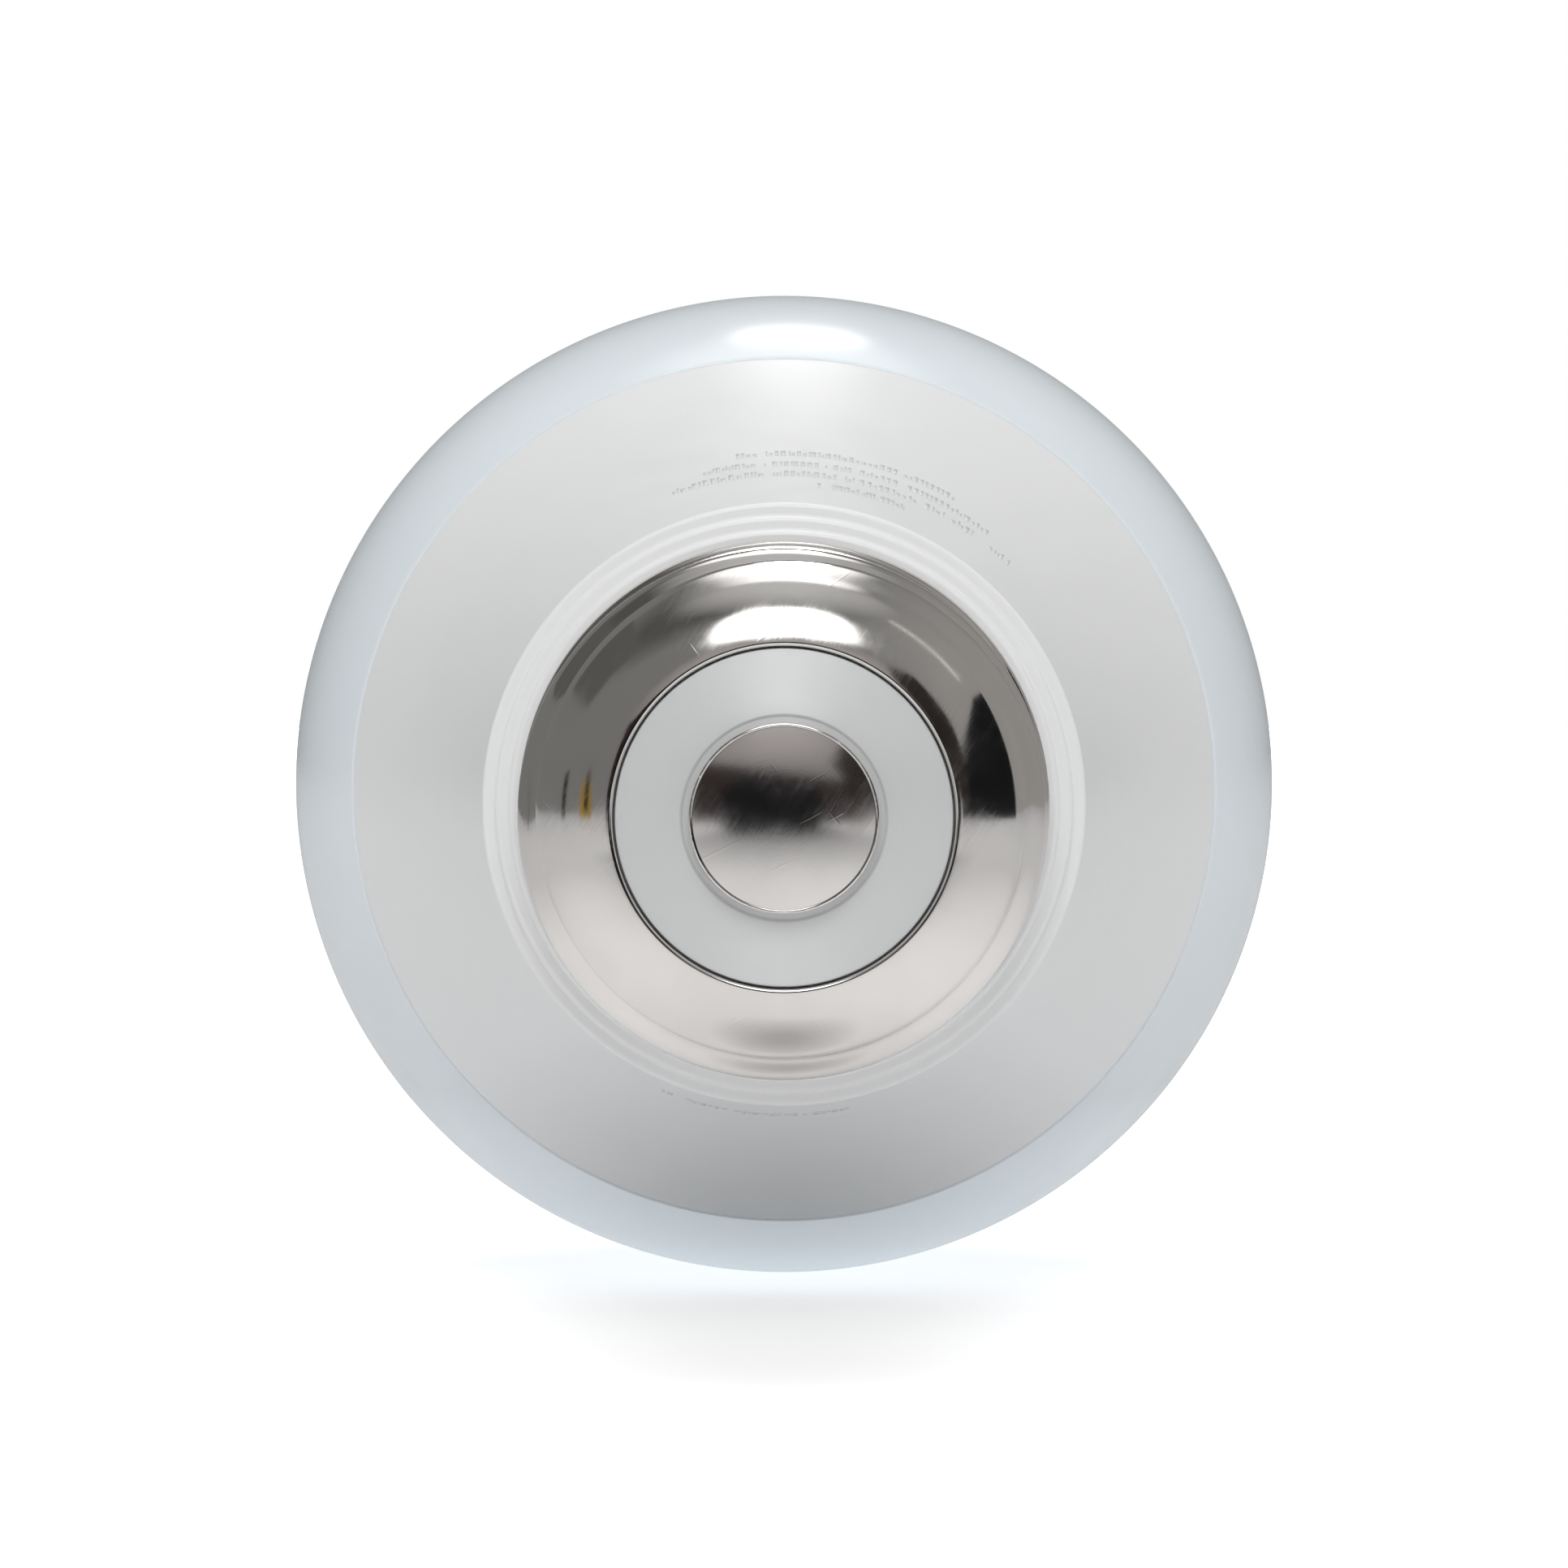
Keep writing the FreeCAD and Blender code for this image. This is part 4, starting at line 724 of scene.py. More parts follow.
@dataclass(frozen=True)
class ScrewShell:
    """Nickel-plated screw shell: rolled lip, rounded shoulder, thread, and a skirt punched onto the plug."""

    thread_radius: float = 13.15
    thread_pitch: float = 3.629
    thread_depth: float = 0.9
    thread_lead: float = 4.4
    thread_deepening: float = 2.6
    thread_start_angle: float = 298.0
    wall: float = 0.35
    shoulder_round: float = 6.1
    lip_radius: float = 8.35
    skirt_length: float = 3.9
    skirt_curl: float = 0.18
    curl_length: float = 0.6
    punch_count: int = 8
    punch_radius: float = 0.85
    punch_depth: float = 0.4
    punch_height: float = 1.7
    punch_turn: float = -9.0
    columns: int = 320
    outer_shoulder_rows: int = 60
    inner_shoulder_rows: int = 16
    outer_rows: int = 160
    inner_rows: int = 64
    edge_steps: int = 10

    def surface(self, thread: Thread, extent: Extent, inset: float, shoulder_rows: int, rows: int) -> Array:
        """Outer or inner skin from lip to skirt end.

        The shoulder is an arc about a ring inside the shell, tilt from the lip to square with the axis, and a
        cylinder over the crests follows it; the thread cuts its groove into both. The skirt is pushed in by
        round bowls, depth times (1 - distance squared) squared, and curls out over its last length.

        Args:
            thread: The thread's function.
            extent: The shell's ends.
            inset: 0 for the outer skin, the wall for the inner one.
            shoulder_rows: Rows on the shoulder.
            rows: Rows past it.

        Returns:
            Points of shape (rows, columns, 3).
        """
        centre = self.thread_radius - self.shoulder_round
        lip_tilt = math.asin((self.lip_radius - centre) / self.shoulder_round)
        lip_tilt += self.wall / 2 / self.shoulder_round
        reach = self.shoulder_round - inset
        arc = circle_arc((centre, thread.top), reach, lip_tilt, math.pi / 2, shoulder_rows)[:-1]
        run = np.linspace(thread.top, extent.end, rows)
        place = np.concatenate([arc[:, 1], run])[:, None]
        envelope = np.concatenate([arc[:, 0], np.full(rows, self.thread_radius - inset)])[:, None]
        angle = np.linspace(0, 2 * math.pi, self.columns, endpoint=False)[None, :]
        radius = thread.radius(angle, place, envelope)
        spacing = 2 * math.pi / self.punch_count
        turn = angle - math.radians(self.punch_turn)
        around = (turn - np.round(turn / spacing) * spacing) * thread.skirt_radius
        off = np.hypot(around, place - (extent.end - self.punch_height)) / self.punch_radius
        radius = radius - self.punch_depth * np.clip(1 - off**2, 0, 1) ** 2
        curls = smooth_step((place - extent.end + self.curl_length) / self.curl_length)
        radius = radius + self.skirt_curl * curls**2
        return np.stack([radius * np.sin(angle), place + 0 * angle, radius * np.cos(angle)], axis=2)

    @staticmethod
    def rolled_edge(first: Array, last: Array, along: Array, steps: int) -> Array:
        """Half-round edge between two rings of points, bulging by half their gap in the direction along.

        A point is the middle plus cosine times the half gap plus sine times the half gap's length along.
        """
        middle, half = (first + last) / 2, (first - last) / 2
        sweep = np.linspace(0, math.pi, steps + 1)[1:-1, None, None]
        size = np.linalg.norm(half, axis=1, keepdims=True)
        bulge = along / np.linalg.norm(along, axis=1, keepdims=True) * size
        return middle + half * np.cos(sweep) + bulge * np.sin(sweep)

    def build(self, material: bpy.types.Material) -> bpy.types.Object:
        """Joins both skins with a rolled lip at the cap end and a rolled edge at the skirt."""
        extent = Extent.of("screw_shell")
        lip_reach = self.lip_radius - (self.thread_radius - self.shoulder_round)
        top = extent.start + math.sqrt(self.shoulder_round**2 - lip_reach**2)
        thread = Thread(
            crest=self.thread_radius,
            pitch=self.thread_pitch,
            depth=self.thread_depth,
            lead=self.thread_lead,
            deepening=self.thread_deepening,
            start_angle=self.thread_start_angle,
            top=top,
            skirt_radius=extent.radius,
            skirt_start=extent.end - self.skirt_length,
        )
        outer = self.surface(thread, extent, 0.0, self.outer_shoulder_rows, self.outer_rows)
        inner = self.surface(thread, extent, self.wall, self.inner_shoulder_rows, self.inner_rows)[::-1]
        lip = self.rolled_edge(inner[-1], outer[0], outer[0] - outer[1], self.edge_steps)
        hem = self.rolled_edge(outer[-1], inner[0], outer[-1] - outer[-2], self.edge_steps)
        points = np.concatenate([lip, outer, hem, inner])
        return build_piece("screw_shell_rolled", [Sheet(points)], material, ["screw_shell"])


@dataclass(frozen=True)
class CapInsulator:
    """Moulded disc in the shell's hole, with a shallow moat round the contact and a softened outer edge."""

    face_radius: float = 8.20
    face_slope: float = 12.0
    edge_round: float = 0.12
    recess_gap: float = 0.30
    recess_depth: float = 0.12
    flange_radius: float = 10.0
    flange_start: float = 3.05
    flange_end: float = 5.0
    hub_radius: float = 3.2
    bore: float = 1.25
    fine_round: float = 0.12
    columns: int = 256

    def build(self, material: bpy.types.Material, contact_radius: float) -> bpy.types.Object:
        """Turns the disc from an outline with rounded edges."""
        extent = Extent.of("cap_insulator")
        moat = contact_radius + self.recess_gap
        slope = math.tan(math.radians(self.face_slope))
        face_end = extent.start + (self.face_radius - moat) * slope
        outline = corners(
            (self.bore, extent.start + self.recess_depth),
            (moat, extent.start + self.recess_depth, self.fine_round),
            (moat + self.fine_round, extent.start, self.fine_round),
            (self.face_radius, face_end, self.edge_round),
            (self.face_radius, self.flange_start, self.fine_round),
            (self.flange_radius, self.flange_start, self.fine_round),
            (self.flange_radius, self.flange_end, self.edge_round),
            (self.hub_radius, self.flange_end, self.fine_round),
            (self.hub_radius, extent.end, self.fine_round),
            (self.bore, extent.end, self.fine_round),
        )
        sheet = Sheet(turned(rounded(outline), self.columns))
        return build_piece("cap_insulator_moulded", [sheet], material, ["cap_insulator"])


@dataclass(frozen=True)
class CentreContact:
    """Plated nail: a low dome with a rolled rim, and its shank."""

    dome: float = 0.6
    rim: float = 1.1
    rim_round: float = 0.09
    shank_radius: float = 1.2
    dome_steps: int = 40
    edge_steps: int = 8
    columns: int = 224

    def build(self, material: bpy.types.Material) -> bpy.types.Object:
        """Turns the nail; the dome is a circle's arc whose radius follows from its width and height."""
        extent = Extent.of("centre_contact")
        reach = (extent.radius**2 + self.dome**2) / (2 * self.dome)
        edge_tilt = math.asin(extent.radius / reach)
        dome_end = edge_tilt - self.rim_round / reach
        dome = plain(circle_arc((0, reach), reach, 0, dome_end, self.dome_steps))
        underside = self.dome + self.rim
        rest = corners(
            (extent.radius, self.dome, self.rim_round),
            (extent.radius, underside, self.rim_round / 2),
            (self.shank_radius, underside, self.rim_round / 2),
            (self.shank_radius, extent.end, self.rim_round),
            (0, extent.end),
        )
        outline = rounded(np.concatenate([dome, rest]), self.edge_steps)
        sheet = Sheet(turned(outline, self.columns), joins_rows=False)
        return build_piece("centre_contact_domed", [sheet], material, ["centre_contact"])


# ---- housing, print and diffuser --------------------------------------------------------------------


@dataclass(frozen=True)
class Flare:
    """The hollow curve of the housing's side: one arc from the foot of the flare to the rim."""

    foot_radius: float
    foot_place: float
    rim_radius: float
    rim_place: float
    curve: float

    def centre(self) -> tuple[float, float]:
        """Radius and place of the arc's middle, square off the chord's middle point."""
        rise, spread = self.rim_place - self.foot_place, self.rim_radius - self.foot_radius
        chord = math.hypot(rise, spread)
        off = math.sqrt(self.curve**2 - chord**2 / 4)
        middle_radius = (self.rim_radius + self.foot_radius) / 2 + off * rise / chord
        return middle_radius, (self.rim_place + self.foot_place) / 2 - off * spread / chord

    def radius(self, place: Array, inset: float = 0.0) -> Array:
        """Radius at places along the axis: the arc's middle less the drop of a circle inset by a wall."""
        middle_radius, middle_place = self.centre()
        return middle_radius - np.sqrt((self.curve + inset) ** 2 - (place - middle_place) ** 2)

    def run(self, start: float, end: float, inset: float, steps: int) -> Array:
        """Outline points on the flare between two places."""
        place = np.linspace(start, end, steps + 1)
        return np.column_stack([self.radius(place, inset), place])


@dataclass(frozen=True)
class Housing:
    """White housing: plug in the shell, collar in two fine steps, hollow flare and a bored rim."""

    wall: float = 1.2
    flare_curve: float = 140.0
    neck_radius: float = 15.95
    collar_radius: float = 15.2
    collar_foot: float = 14.45
    collar_length: float = 4.0
    collar_step: float = 0.8
    collar_round: float = 0.3
    rim_round: float = 0.22
    fine_round: float = 0.15
    plug_radius: float = 11.8
    neck_wall: float = 1.3
    skirt_length: float = 3.9
    skirt_seat: float = 13.35
    shell_wall: float = 0.35
    rim_depth: float = 5.1
    slot_half_width: float = 0.45
    slot_depth: float = 0.7
    slot_length: float = 8.0
    rib_inside: float = 8.86
    rib_outside: float = 10.8
    rib_start: float = 18.0
    rib_length: float = 10.0
    rib_height: float = 1.0
    rib_gap: float = 0.1
    neck_margin: float = 0.6
    rim_margin: float = 1.0
    flare_steps: int = 44
    inner_steps: int = 30
    corner_steps: int = 7
    columns: int = 256

    def flare(self) -> Flare:
        """The side's curve, from the collar to the rim that the CAD housing ends at."""
        extent, foot = Extent.of("housing"), Extent.of("screw_shell").end + self.collar_length
        return Flare(self.neck_radius, foot, extent.radius, extent.end, self.flare_curve)

    def bore(self, flare: Flare) -> float:
        """Radius of the rim's bore: the inside of the flare at the bore's depth."""
        return float(flare.radius(np.array(flare.rim_place - self.rim_depth), self.wall))

    def outline(self) -> Array:
        """Closed outline of the wall, from the plug's end outside to the rim and back inside."""
        flare, shell, plug_end = self.flare(), Extent.of("screw_shell"), Extent.of("housing").start
        foot = shell.end + self.fine_round / 2
        middle, top = foot + self.collar_step, foot + self.collar_step * 2
        bore_start, bore = flare.rim_place - self.rim_depth, self.bore(flare)
        floor = flare.foot_place + self.wall
        neck_inside = self.plug_radius - self.neck_wall
        seat_start = shell.end - self.skirt_length + self.shell_wall
        soft, fine = self.collar_round, self.fine_round
        return np.concatenate([
            corners(
                (neck_inside, plug_end, fine),
                (self.plug_radius, plug_end, soft),
                (self.plug_radius, seat_start, fine),
                (self.skirt_seat, seat_start, fine),
                (self.skirt_seat, foot, fine / 2),
                (self.collar_foot, foot, soft),
                (self.collar_foot, middle, fine),
                (self.collar_radius, middle, soft),
                (self.collar_radius, top, fine),
                (self.neck_radius, top, soft),
                (self.neck_radius, flare.foot_place - self.neck_margin, 0),
            ),
            plain(flare.run(flare.foot_place, flare.rim_place - self.rim_margin, 0, self.flare_steps)),
            corners(
                (flare.rim_radius, flare.rim_place, self.rim_round),
                (bore, flare.rim_place, fine),
                (bore, bore_start, fine),
            ),
            plain(flare.run(bore_start, floor, self.wall, self.inner_steps)),
            corners((neck_inside, flare.foot_place, self.wall / 2)),
        ])

    def ribs(self) -> list[Sheet]:
        """Four guide ribs in the neck, a pair above and below each edge of the driver board."""
        board_low, board_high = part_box("driver_board")
        low, high = [], []
        for bottom in (board_high.z / MM + self.rib_gap, board_low.z / MM - self.rib_gap - self.rib_height):
            for left in (self.rib_inside, -self.rib_outside):
                right = left + self.rib_outside - self.rib_inside
                low.append((left, self.rib_start, bottom))
                high.append((right, self.rib_start + self.rib_length, bottom + self.rib_height))
        return box_sheets(np.array(low), np.array(high))

    def build(self, material: bpy.types.Material) -> bpy.types.Object:
        """Turns the wall, presses the groove for the neutral lead into the plug, and adds the ribs."""
        points = turned(rounded(self.outline(), self.corner_steps), self.columns)
        plug_end = Extent.of("housing").start
        side = points[..., 0] > 0
        near = 1 - smooth_step((np.abs(points[..., 2]) - self.slot_half_width) / self.slot_half_width)
        in_length = points[..., 1] < plug_end + self.slot_length
        on_outside = np.hypot(points[..., 0], points[..., 2]) > self.plug_radius - self.collar_round
        points[..., 0] -= self.slot_depth * near * (side & in_length & on_outside)
        sheets = [Sheet(points), *self.ribs()]
        return build_piece("housing_moulded", sheets, material, ["housing"])


@dataclass(frozen=True)
class PrintRow:
    """One row of plain printed bars round the flare.

    Attributes:
        place: Where the row starts along the axis.
        first_angle: Angle in degrees of its first bar.
        last_angle: Angle in degrees at which it ends.
        length: Length of a full bar along the axis.
        bars: Number of bars, missing ones included.
        filled: Share of a bar's room that is ink.
    """

    place: float
    first_angle: float
    last_angle: float
    length: float
    bars: int
    filled: float = 0.62


@dataclass(frozen=True)
class RatingPrint:
    """Pad-printed rating marks: rows of plain bars of uneven widths, with no lettering.

    Attributes:
        rows: The rows of bars.
        sink: How far the ink reaches under the surface.
        stand: How far it stands above it.
        widths: Least and greatest width that a bar is drawn with, before its row is scaled.
        missing: Share of the bars that are left out.
        short: Share of the bars that are short.
        short_length: Length of a short bar as a share of a full one.
        bar_columns: Points along a bar's width.
        seed: Seed of the draws.
    """

    rows: tuple[PrintRow, ...] = (
        PrintRow(36.4, 6.0, 22.5, 1.6, 22, 0.75),
        PrintRow(39.6, -20.0, 44.0, 1.5, 64),
        PrintRow(42.4, -14.0, 38.0, 1.2, 56),
        PrintRow(45.0, -8.0, 30.0, 1.2, 40),
        PrintRow(36.0, 168.0, 203.0, 1.0, 30, 0.75),
    )
    sink: float = 0.015
    stand: float = 0.012
    widths: Span = (0.5, 1.6)
    missing: float = 0.12
    short: float = 0.35
    short_length: float = 0.62
    bar_columns: int = 3
    seed: int = 7

    def bars(self, row: PrintRow, flare: Flare, random: np.random.Generator) -> list[Sheet]:
        """Closed thin bars that follow the flare: each is a ring of four edges swept over steps of angle.

        Widths are drawn at random and scaled so that they and the gaps between them fill the row.

        Args:
            row: The row to fill.
            flare: The surface that carries it.
            random: Source of the widths.

        Returns:
            One sheet for each bar's skin and one for each of its two ends.
        """
        width = random.uniform(*self.widths, row.bars)
        step = np.concatenate([[0.0], np.cumsum(width)]) / width.sum()
        span = row.last_angle - row.first_angle
        start = row.first_angle + span * step[:-1]
        end = start + span * np.diff(step) * row.filled
        keeps = random.uniform(0, 1, row.bars) > self.missing
        tall = np.where(random.uniform(0, 1, row.bars) > self.short, 1.0, self.short_length)
        sheets = []
        for first, last, size in zip(start[keeps], end[keeps], tall[keeps]):
            angle = np.radians(np.linspace(first, last, self.bar_columns))[None, :]
            low, high = row.place, row.place + row.length * size
            place = np.array([low, high, high, low])[:, None]
            lift = np.array([self.stand, self.stand, -self.sink, -self.sink])[:, None]
            radius = flare.radius(place) + lift
            ring = np.stack([radius * np.sin(angle), place + 0 * angle, radius * np.cos(angle)], axis=2)
            sheets.append(Sheet(ring, joins_columns=False))
            sheets += [Sheet(ring[[0, 1, 3, 2], column].reshape(2, 2, 3), False, False) for column in (0, -1)]
        return sheets

    def build(self, material: bpy.types.Material, flare: Flare) -> bpy.types.Object:
        """Prints every row as one piece."""
        random = np.random.default_rng(self.seed)
        sheets = [sheet for row in self.rows for sheet in self.bars(row, flare, random)]
        return build_piece("rating_print", sheets, material)


@dataclass(frozen=True)
class Diffuser:
    """Opal dome with a softened edge where it meets the rim, and its lip inside the housing."""

    wall: float = 1.2
    seat_gap: float = 0.04
    glue_gap: float = 0.6
    lip_wall: float = 1.1
    edge_round: float = 0.22
    fine_round: float = 0.15
    outer_steps: int = 72
    inner_steps: int = 56
    columns: int = 256

    def build(self, material: bpy.types.Material, bore: float) -> bpy.types.Object:
        """Turns the dome: outside a sphere's arc, then the seat, the lip and the inner arc."""
        extent, rim = Extent.of("diffuser"), Extent.of("housing").end
        centre = extent.end - extent.radius
        seat = rim + self.seat_gap
        flange = seat + self.wall
        edge_tilt = math.acos((centre - seat) / extent.radius)
        inner_reach = extent.radius - self.wall
        inner_tilt = math.acos((centre - flange) / inner_reach)
        lip_outside = bore - self.glue_gap
        start_tilt = edge_tilt + self.edge_round * 2 / extent.radius
        outline = np.concatenate([
            plain(circle_arc((0, centre), extent.radius, math.pi, start_tilt, self.outer_steps)),
            corners(
                (extent.radius * math.sin(edge_tilt), seat, self.edge_round),
                (lip_outside, seat, self.fine_round),
                (lip_outside, extent.start, self.fine_round),
                (lip_outside - self.lip_wall, extent.start, self.fine_round),
                (lip_outside - self.lip_wall, flange, self.fine_round),
            ),
            plain(circle_arc((0, centre), inner_reach, inner_tilt, math.pi, self.inner_steps)),
        ])
        outline = rounded(outline)
        outline[[0, -1], 0] = 0.0
        sheet = Sheet(turned(outline, self.columns), joins_rows=False)
        return build_piece("diffuser_dome", [sheet], material, ["diffuser"])


# ---- inside the bulb --------------------------------------------------------------------------------


@dataclass(frozen=True)
class ChokeWinding:
    """Enamelled wire wound on the choke's post: one helix tube down each layer."""

    wire: float = 0.36
    gap: float = 0.03
    ring_steps: int = 8
    steps_per_turn: int = 28
    body_inset: float = 0.05
    body_columns: int = 40

    def build(self, material: bpy.types.Material) -> bpy.types.Object:
        """Sweeps a ring of points along the helix, whose axis is the middle of the CAD winding's box.

        The tube's middle is at (radius cos(angle), radius sin(angle)) and climbs in proportion to the angle.
        A plain cylinder inside the turns closes the gaps between them.
        """
        low, high = (np.array(corner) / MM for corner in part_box("choke_winding"))
        middle = (low + high) / 2
        radius = (high[0] - low[0]) / 2 - self.wire / 2
        height = high[2] - low[2] - self.wire
        turns = int(height / (self.wire + self.gap))
        angle = np.linspace(0, 2 * math.pi * turns, turns * self.steps_per_turn + 1)[:, None]
        ring = np.linspace(0, 2 * math.pi, self.ring_steps, endpoint=False)[None, :]
        reach = radius + self.wire / 2 * np.cos(ring)
        rise = low[2] + self.wire / 2 + height * angle / angle.max() + self.wire / 2 * np.sin(ring)
        across, forward = middle[0] + reach * np.cos(angle), middle[1] + reach * np.sin(angle)
        tube = np.stack([across, forward, rise], axis=2)
        caps = [np.stack([ring, ring.mean(0) + 0 * ring]) for ring in (tube[0], tube[-1])]
        ends = [Sheet(cap, joins_rows=False) for cap in caps]
        core = radius - self.wire / 4
        bottom, top = low[2] + self.body_inset, high[2] - self.body_inset
        outline = np.array([(0, bottom), (core, bottom), (core, top), (0, top)])
        body = turned(outline, self.body_columns)[..., [0, 2, 1]] + np.array([middle[0], middle[1], 0])
        sheets = [Sheet(tube, joins_rows=False), *ends, Sheet(body, joins_rows=False)]
        return build_piece("choke_winding_turns", sheets, material, ["choke_winding"])


@dataclass(frozen=True)
class Inside:
    """The parts sealed in the bulb: heat sink, LED board and driver. They keep their CAD shapes."""

    winding: ChokeWinding = field(default_factory=ChokeWinding)

    def finishes(self) -> dict[Finish, tuple[str, ...]]:
        """Gives each finish and the CAD nodes that wear it."""
        resistor = Extent.of("fusible_resistor")
        length = resistor.end - resistor.start
        ring_shares, ring_width = (0.12, 0.30, 0.46, 0.76), 0.07
        ring_colours = ((0.30, 0.12, 0.05), (0.02, 0.02, 0.02), (0.02, 0.02, 0.02), (0.62, 0.42, 0.12))
        rings = tuple(
            (resistor.start + length * share, resistor.start + length * (share + ring_width), paint)
            for share, paint in zip(ring_shares, ring_colours)
        )
        can, small_can = Extent.of("input_capacitor"), Extent.of("output_capacitor")
        silver, black_bung = (0.72, 0.72, 0.72), (0.02, 0.02, 0.02)
        bung, can_top, past = 0.5, 0.35, 1.0
        can_bands = (
            (can.start - past, can.start + bung, black_bung),
            (can.end - can_top, can.end + past, silver),
        )
        small_can_bands = (
            (small_can.start - past, small_can.start + can_top, silver),
            (small_can.end - bung, small_can.end + past, black_bung),
        )
        metal = {"metallic": 1.0, "roughness": 0.25, "rougher": 0.4}
        return {
            Finish("drawn_aluminium", (0.80, 0.81, 0.82), (0.70, 0.71, 0.72), grain=Grain.DRAWN,
                   grain_size=0.10, grain_depth=0.003, **metal): ("heat_sink_cup",),
            Finish("thermal_pad_silicone", (0.42, 0.50, 0.56), (0.38, 0.45, 0.51), 0.75, 0.85,
                   grain=Grain.WOVEN, grain_size=0.4, grain_depth=0.02): ("thermal_pad",),
            TracedFinish("white_solder_mask", (0.80, 0.80, 0.78), (0.76, 0.76, 0.74), 0.3, 0.4,
                         track=(0.86, 0.86, 0.84), grain_depth=0.001): ("led_board",),
            Finish("led_package_resin", (0.84, 0.83, 0.80), (0.80, 0.79, 0.75), 0.4, 0.5,
                   bleed=0.2): ("led_packages",),
            Finish("yellow_phosphor", (0.86, 0.62, 0.10), (0.80, 0.52, 0.06), 0.45, 0.6, mottle=0.3,
                   grain_size=0.04, grain_depth=0.004, bleed=0.3): ("led_phosphors",),
            Finish("zinc_plated_steel", (0.74, 0.75, 0.78), (0.62, 0.63, 0.68), mottle=1.0,
                   **metal): ("board_screws",),
            Finish("white_silicone", (0.82, 0.83, 0.83), (0.76, 0.77, 0.78), 0.3, 0.42, mottle=2.0,
                   grain_size=0.8, grain_depth=0.03, bleed=0.4): ("diffuser_adhesive",),
            TracedFinish("green_solder_mask", (0.02, 0.16, 0.07), (0.02, 0.13, 0.06), 0.28, 0.38,
                         track=(0.05, 0.27, 0.11), grain=Grain.WOVEN, grain_size=0.35,
                         grain_depth=0.003): ("driver_board",),
            BandedFinish("resistor_lacquer", (0.20, 0.42, 0.36), (0.16, 0.36, 0.31), 0.25, 0.35,
                         bands=rings, coat=0.4): ("fusible_resistor",),
            Finish("black_heat_shrink", (0.025, 0.025, 0.027), (0.035, 0.035, 0.038), 0.45, 0.6, mottle=1.5,
                   grain_size=0.5, grain_depth=0.01): ("resistor_sleeve",),
            Finish("tinned_wire", (0.76, 0.75, 0.73), (0.66, 0.65, 0.63), mottle=0.8, grain=Grain.DRAWN,
                   grain_size=0.04, grain_depth=0.001, **metal): (
                "live_leads", "neutral_lead", "component_leads", "surface_mount_pins"),
            BandedFinish("input_capacitor_sleeve", (0.03, 0.05, 0.16), (0.03, 0.045, 0.14), 0.28, 0.36,
                         bands=can_bands): ("input_capacitor",),
            BandedFinish("output_capacitor_sleeve", (0.05, 0.05, 0.055), (0.04, 0.04, 0.045), 0.28, 0.36,
                         bands=small_can_bands): ("output_capacitor",),
            Finish("red_epoxy_case", (0.45, 0.05, 0.03), (0.38, 0.04, 0.03), 0.25, 0.38, mottle=1.5,
                   grain_size=0.6, grain_depth=0.015, coat=0.3): ("film_capacitor",),
            Finish("blue_epoxy_lacquer", (0.03, 0.14, 0.42), (0.02, 0.11, 0.35), 0.25, 0.38, mottle=1.2,
                   grain_size=0.7, grain_depth=0.03, coat=0.3): ("varistor",),
            Finish("ferrite", (0.06, 0.06, 0.065), (0.09, 0.09, 0.095), 0.55, 0.7, mottle=0.6,
                   grain_size=0.08, grain_depth=0.006): ("choke_core",),
            Finish("black_moulding_epoxy", (0.022, 0.022, 0.024), (0.032, 0.032, 0.034), 0.55, 0.68,
                   mottle=0.6, grain_size=0.05, grain_depth=0.003): (
                "bridge_rectifier", "driver_chip", "output_diode"),
            Finish("chip_resistor_glaze", (0.03, 0.03, 0.035), (0.05, 0.05, 0.055), 0.25, 0.4,
                   mottle=0.5): ("chip_resistors",),
            Finish("chip_capacitor_ceramic", (0.50, 0.36, 0.22), (0.44, 0.30, 0.18), 0.4, 0.5, mottle=0.5,
                   grain_size=0.05): ("chip_capacitors",),
            Finish("black_nylon", (0.03, 0.03, 0.032), (0.045, 0.045, 0.047), 0.4, 0.5,
                   grain_size=0.1): ("output_header",),
            Finish("gold_flash", (0.92, 0.70, 0.32), (0.86, 0.62, 0.26), mottle=0.5, grain=Grain.DRAWN,
                   grain_size=0.05, grain_depth=0.001, **metal): ("output_pins",),
            Finish("white_nylon", (0.78, 0.77, 0.72), (0.72, 0.71, 0.66), 0.4, 0.5,
                   bleed=0.2): ("board_socket",),
            Finish("solder", (0.72, 0.73, 0.75), (0.60, 0.61, 0.64), mottle=0.5, grain_size=0.2,
                   grain_depth=0.01, **metal): ("solder_joints",),
        }

    def build(self) -> None:
        """Dresses every carried-over CAD node and winds the choke."""
        for finish, nodes in self.finishes().items():
            material = finish.material()
            for node in nodes:
                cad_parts[node].material_slots[0].material = material
                LOG.info("%s: %s", node, finish.name)
        enamel = Finish("copper_enamel", (0.62, 0.22, 0.08), (0.50, 0.15, 0.05), 0.22, 0.32, metallic=1.0,
                        mottle=1.2, coat=0.6)
        self.winding.build(enamel.material())


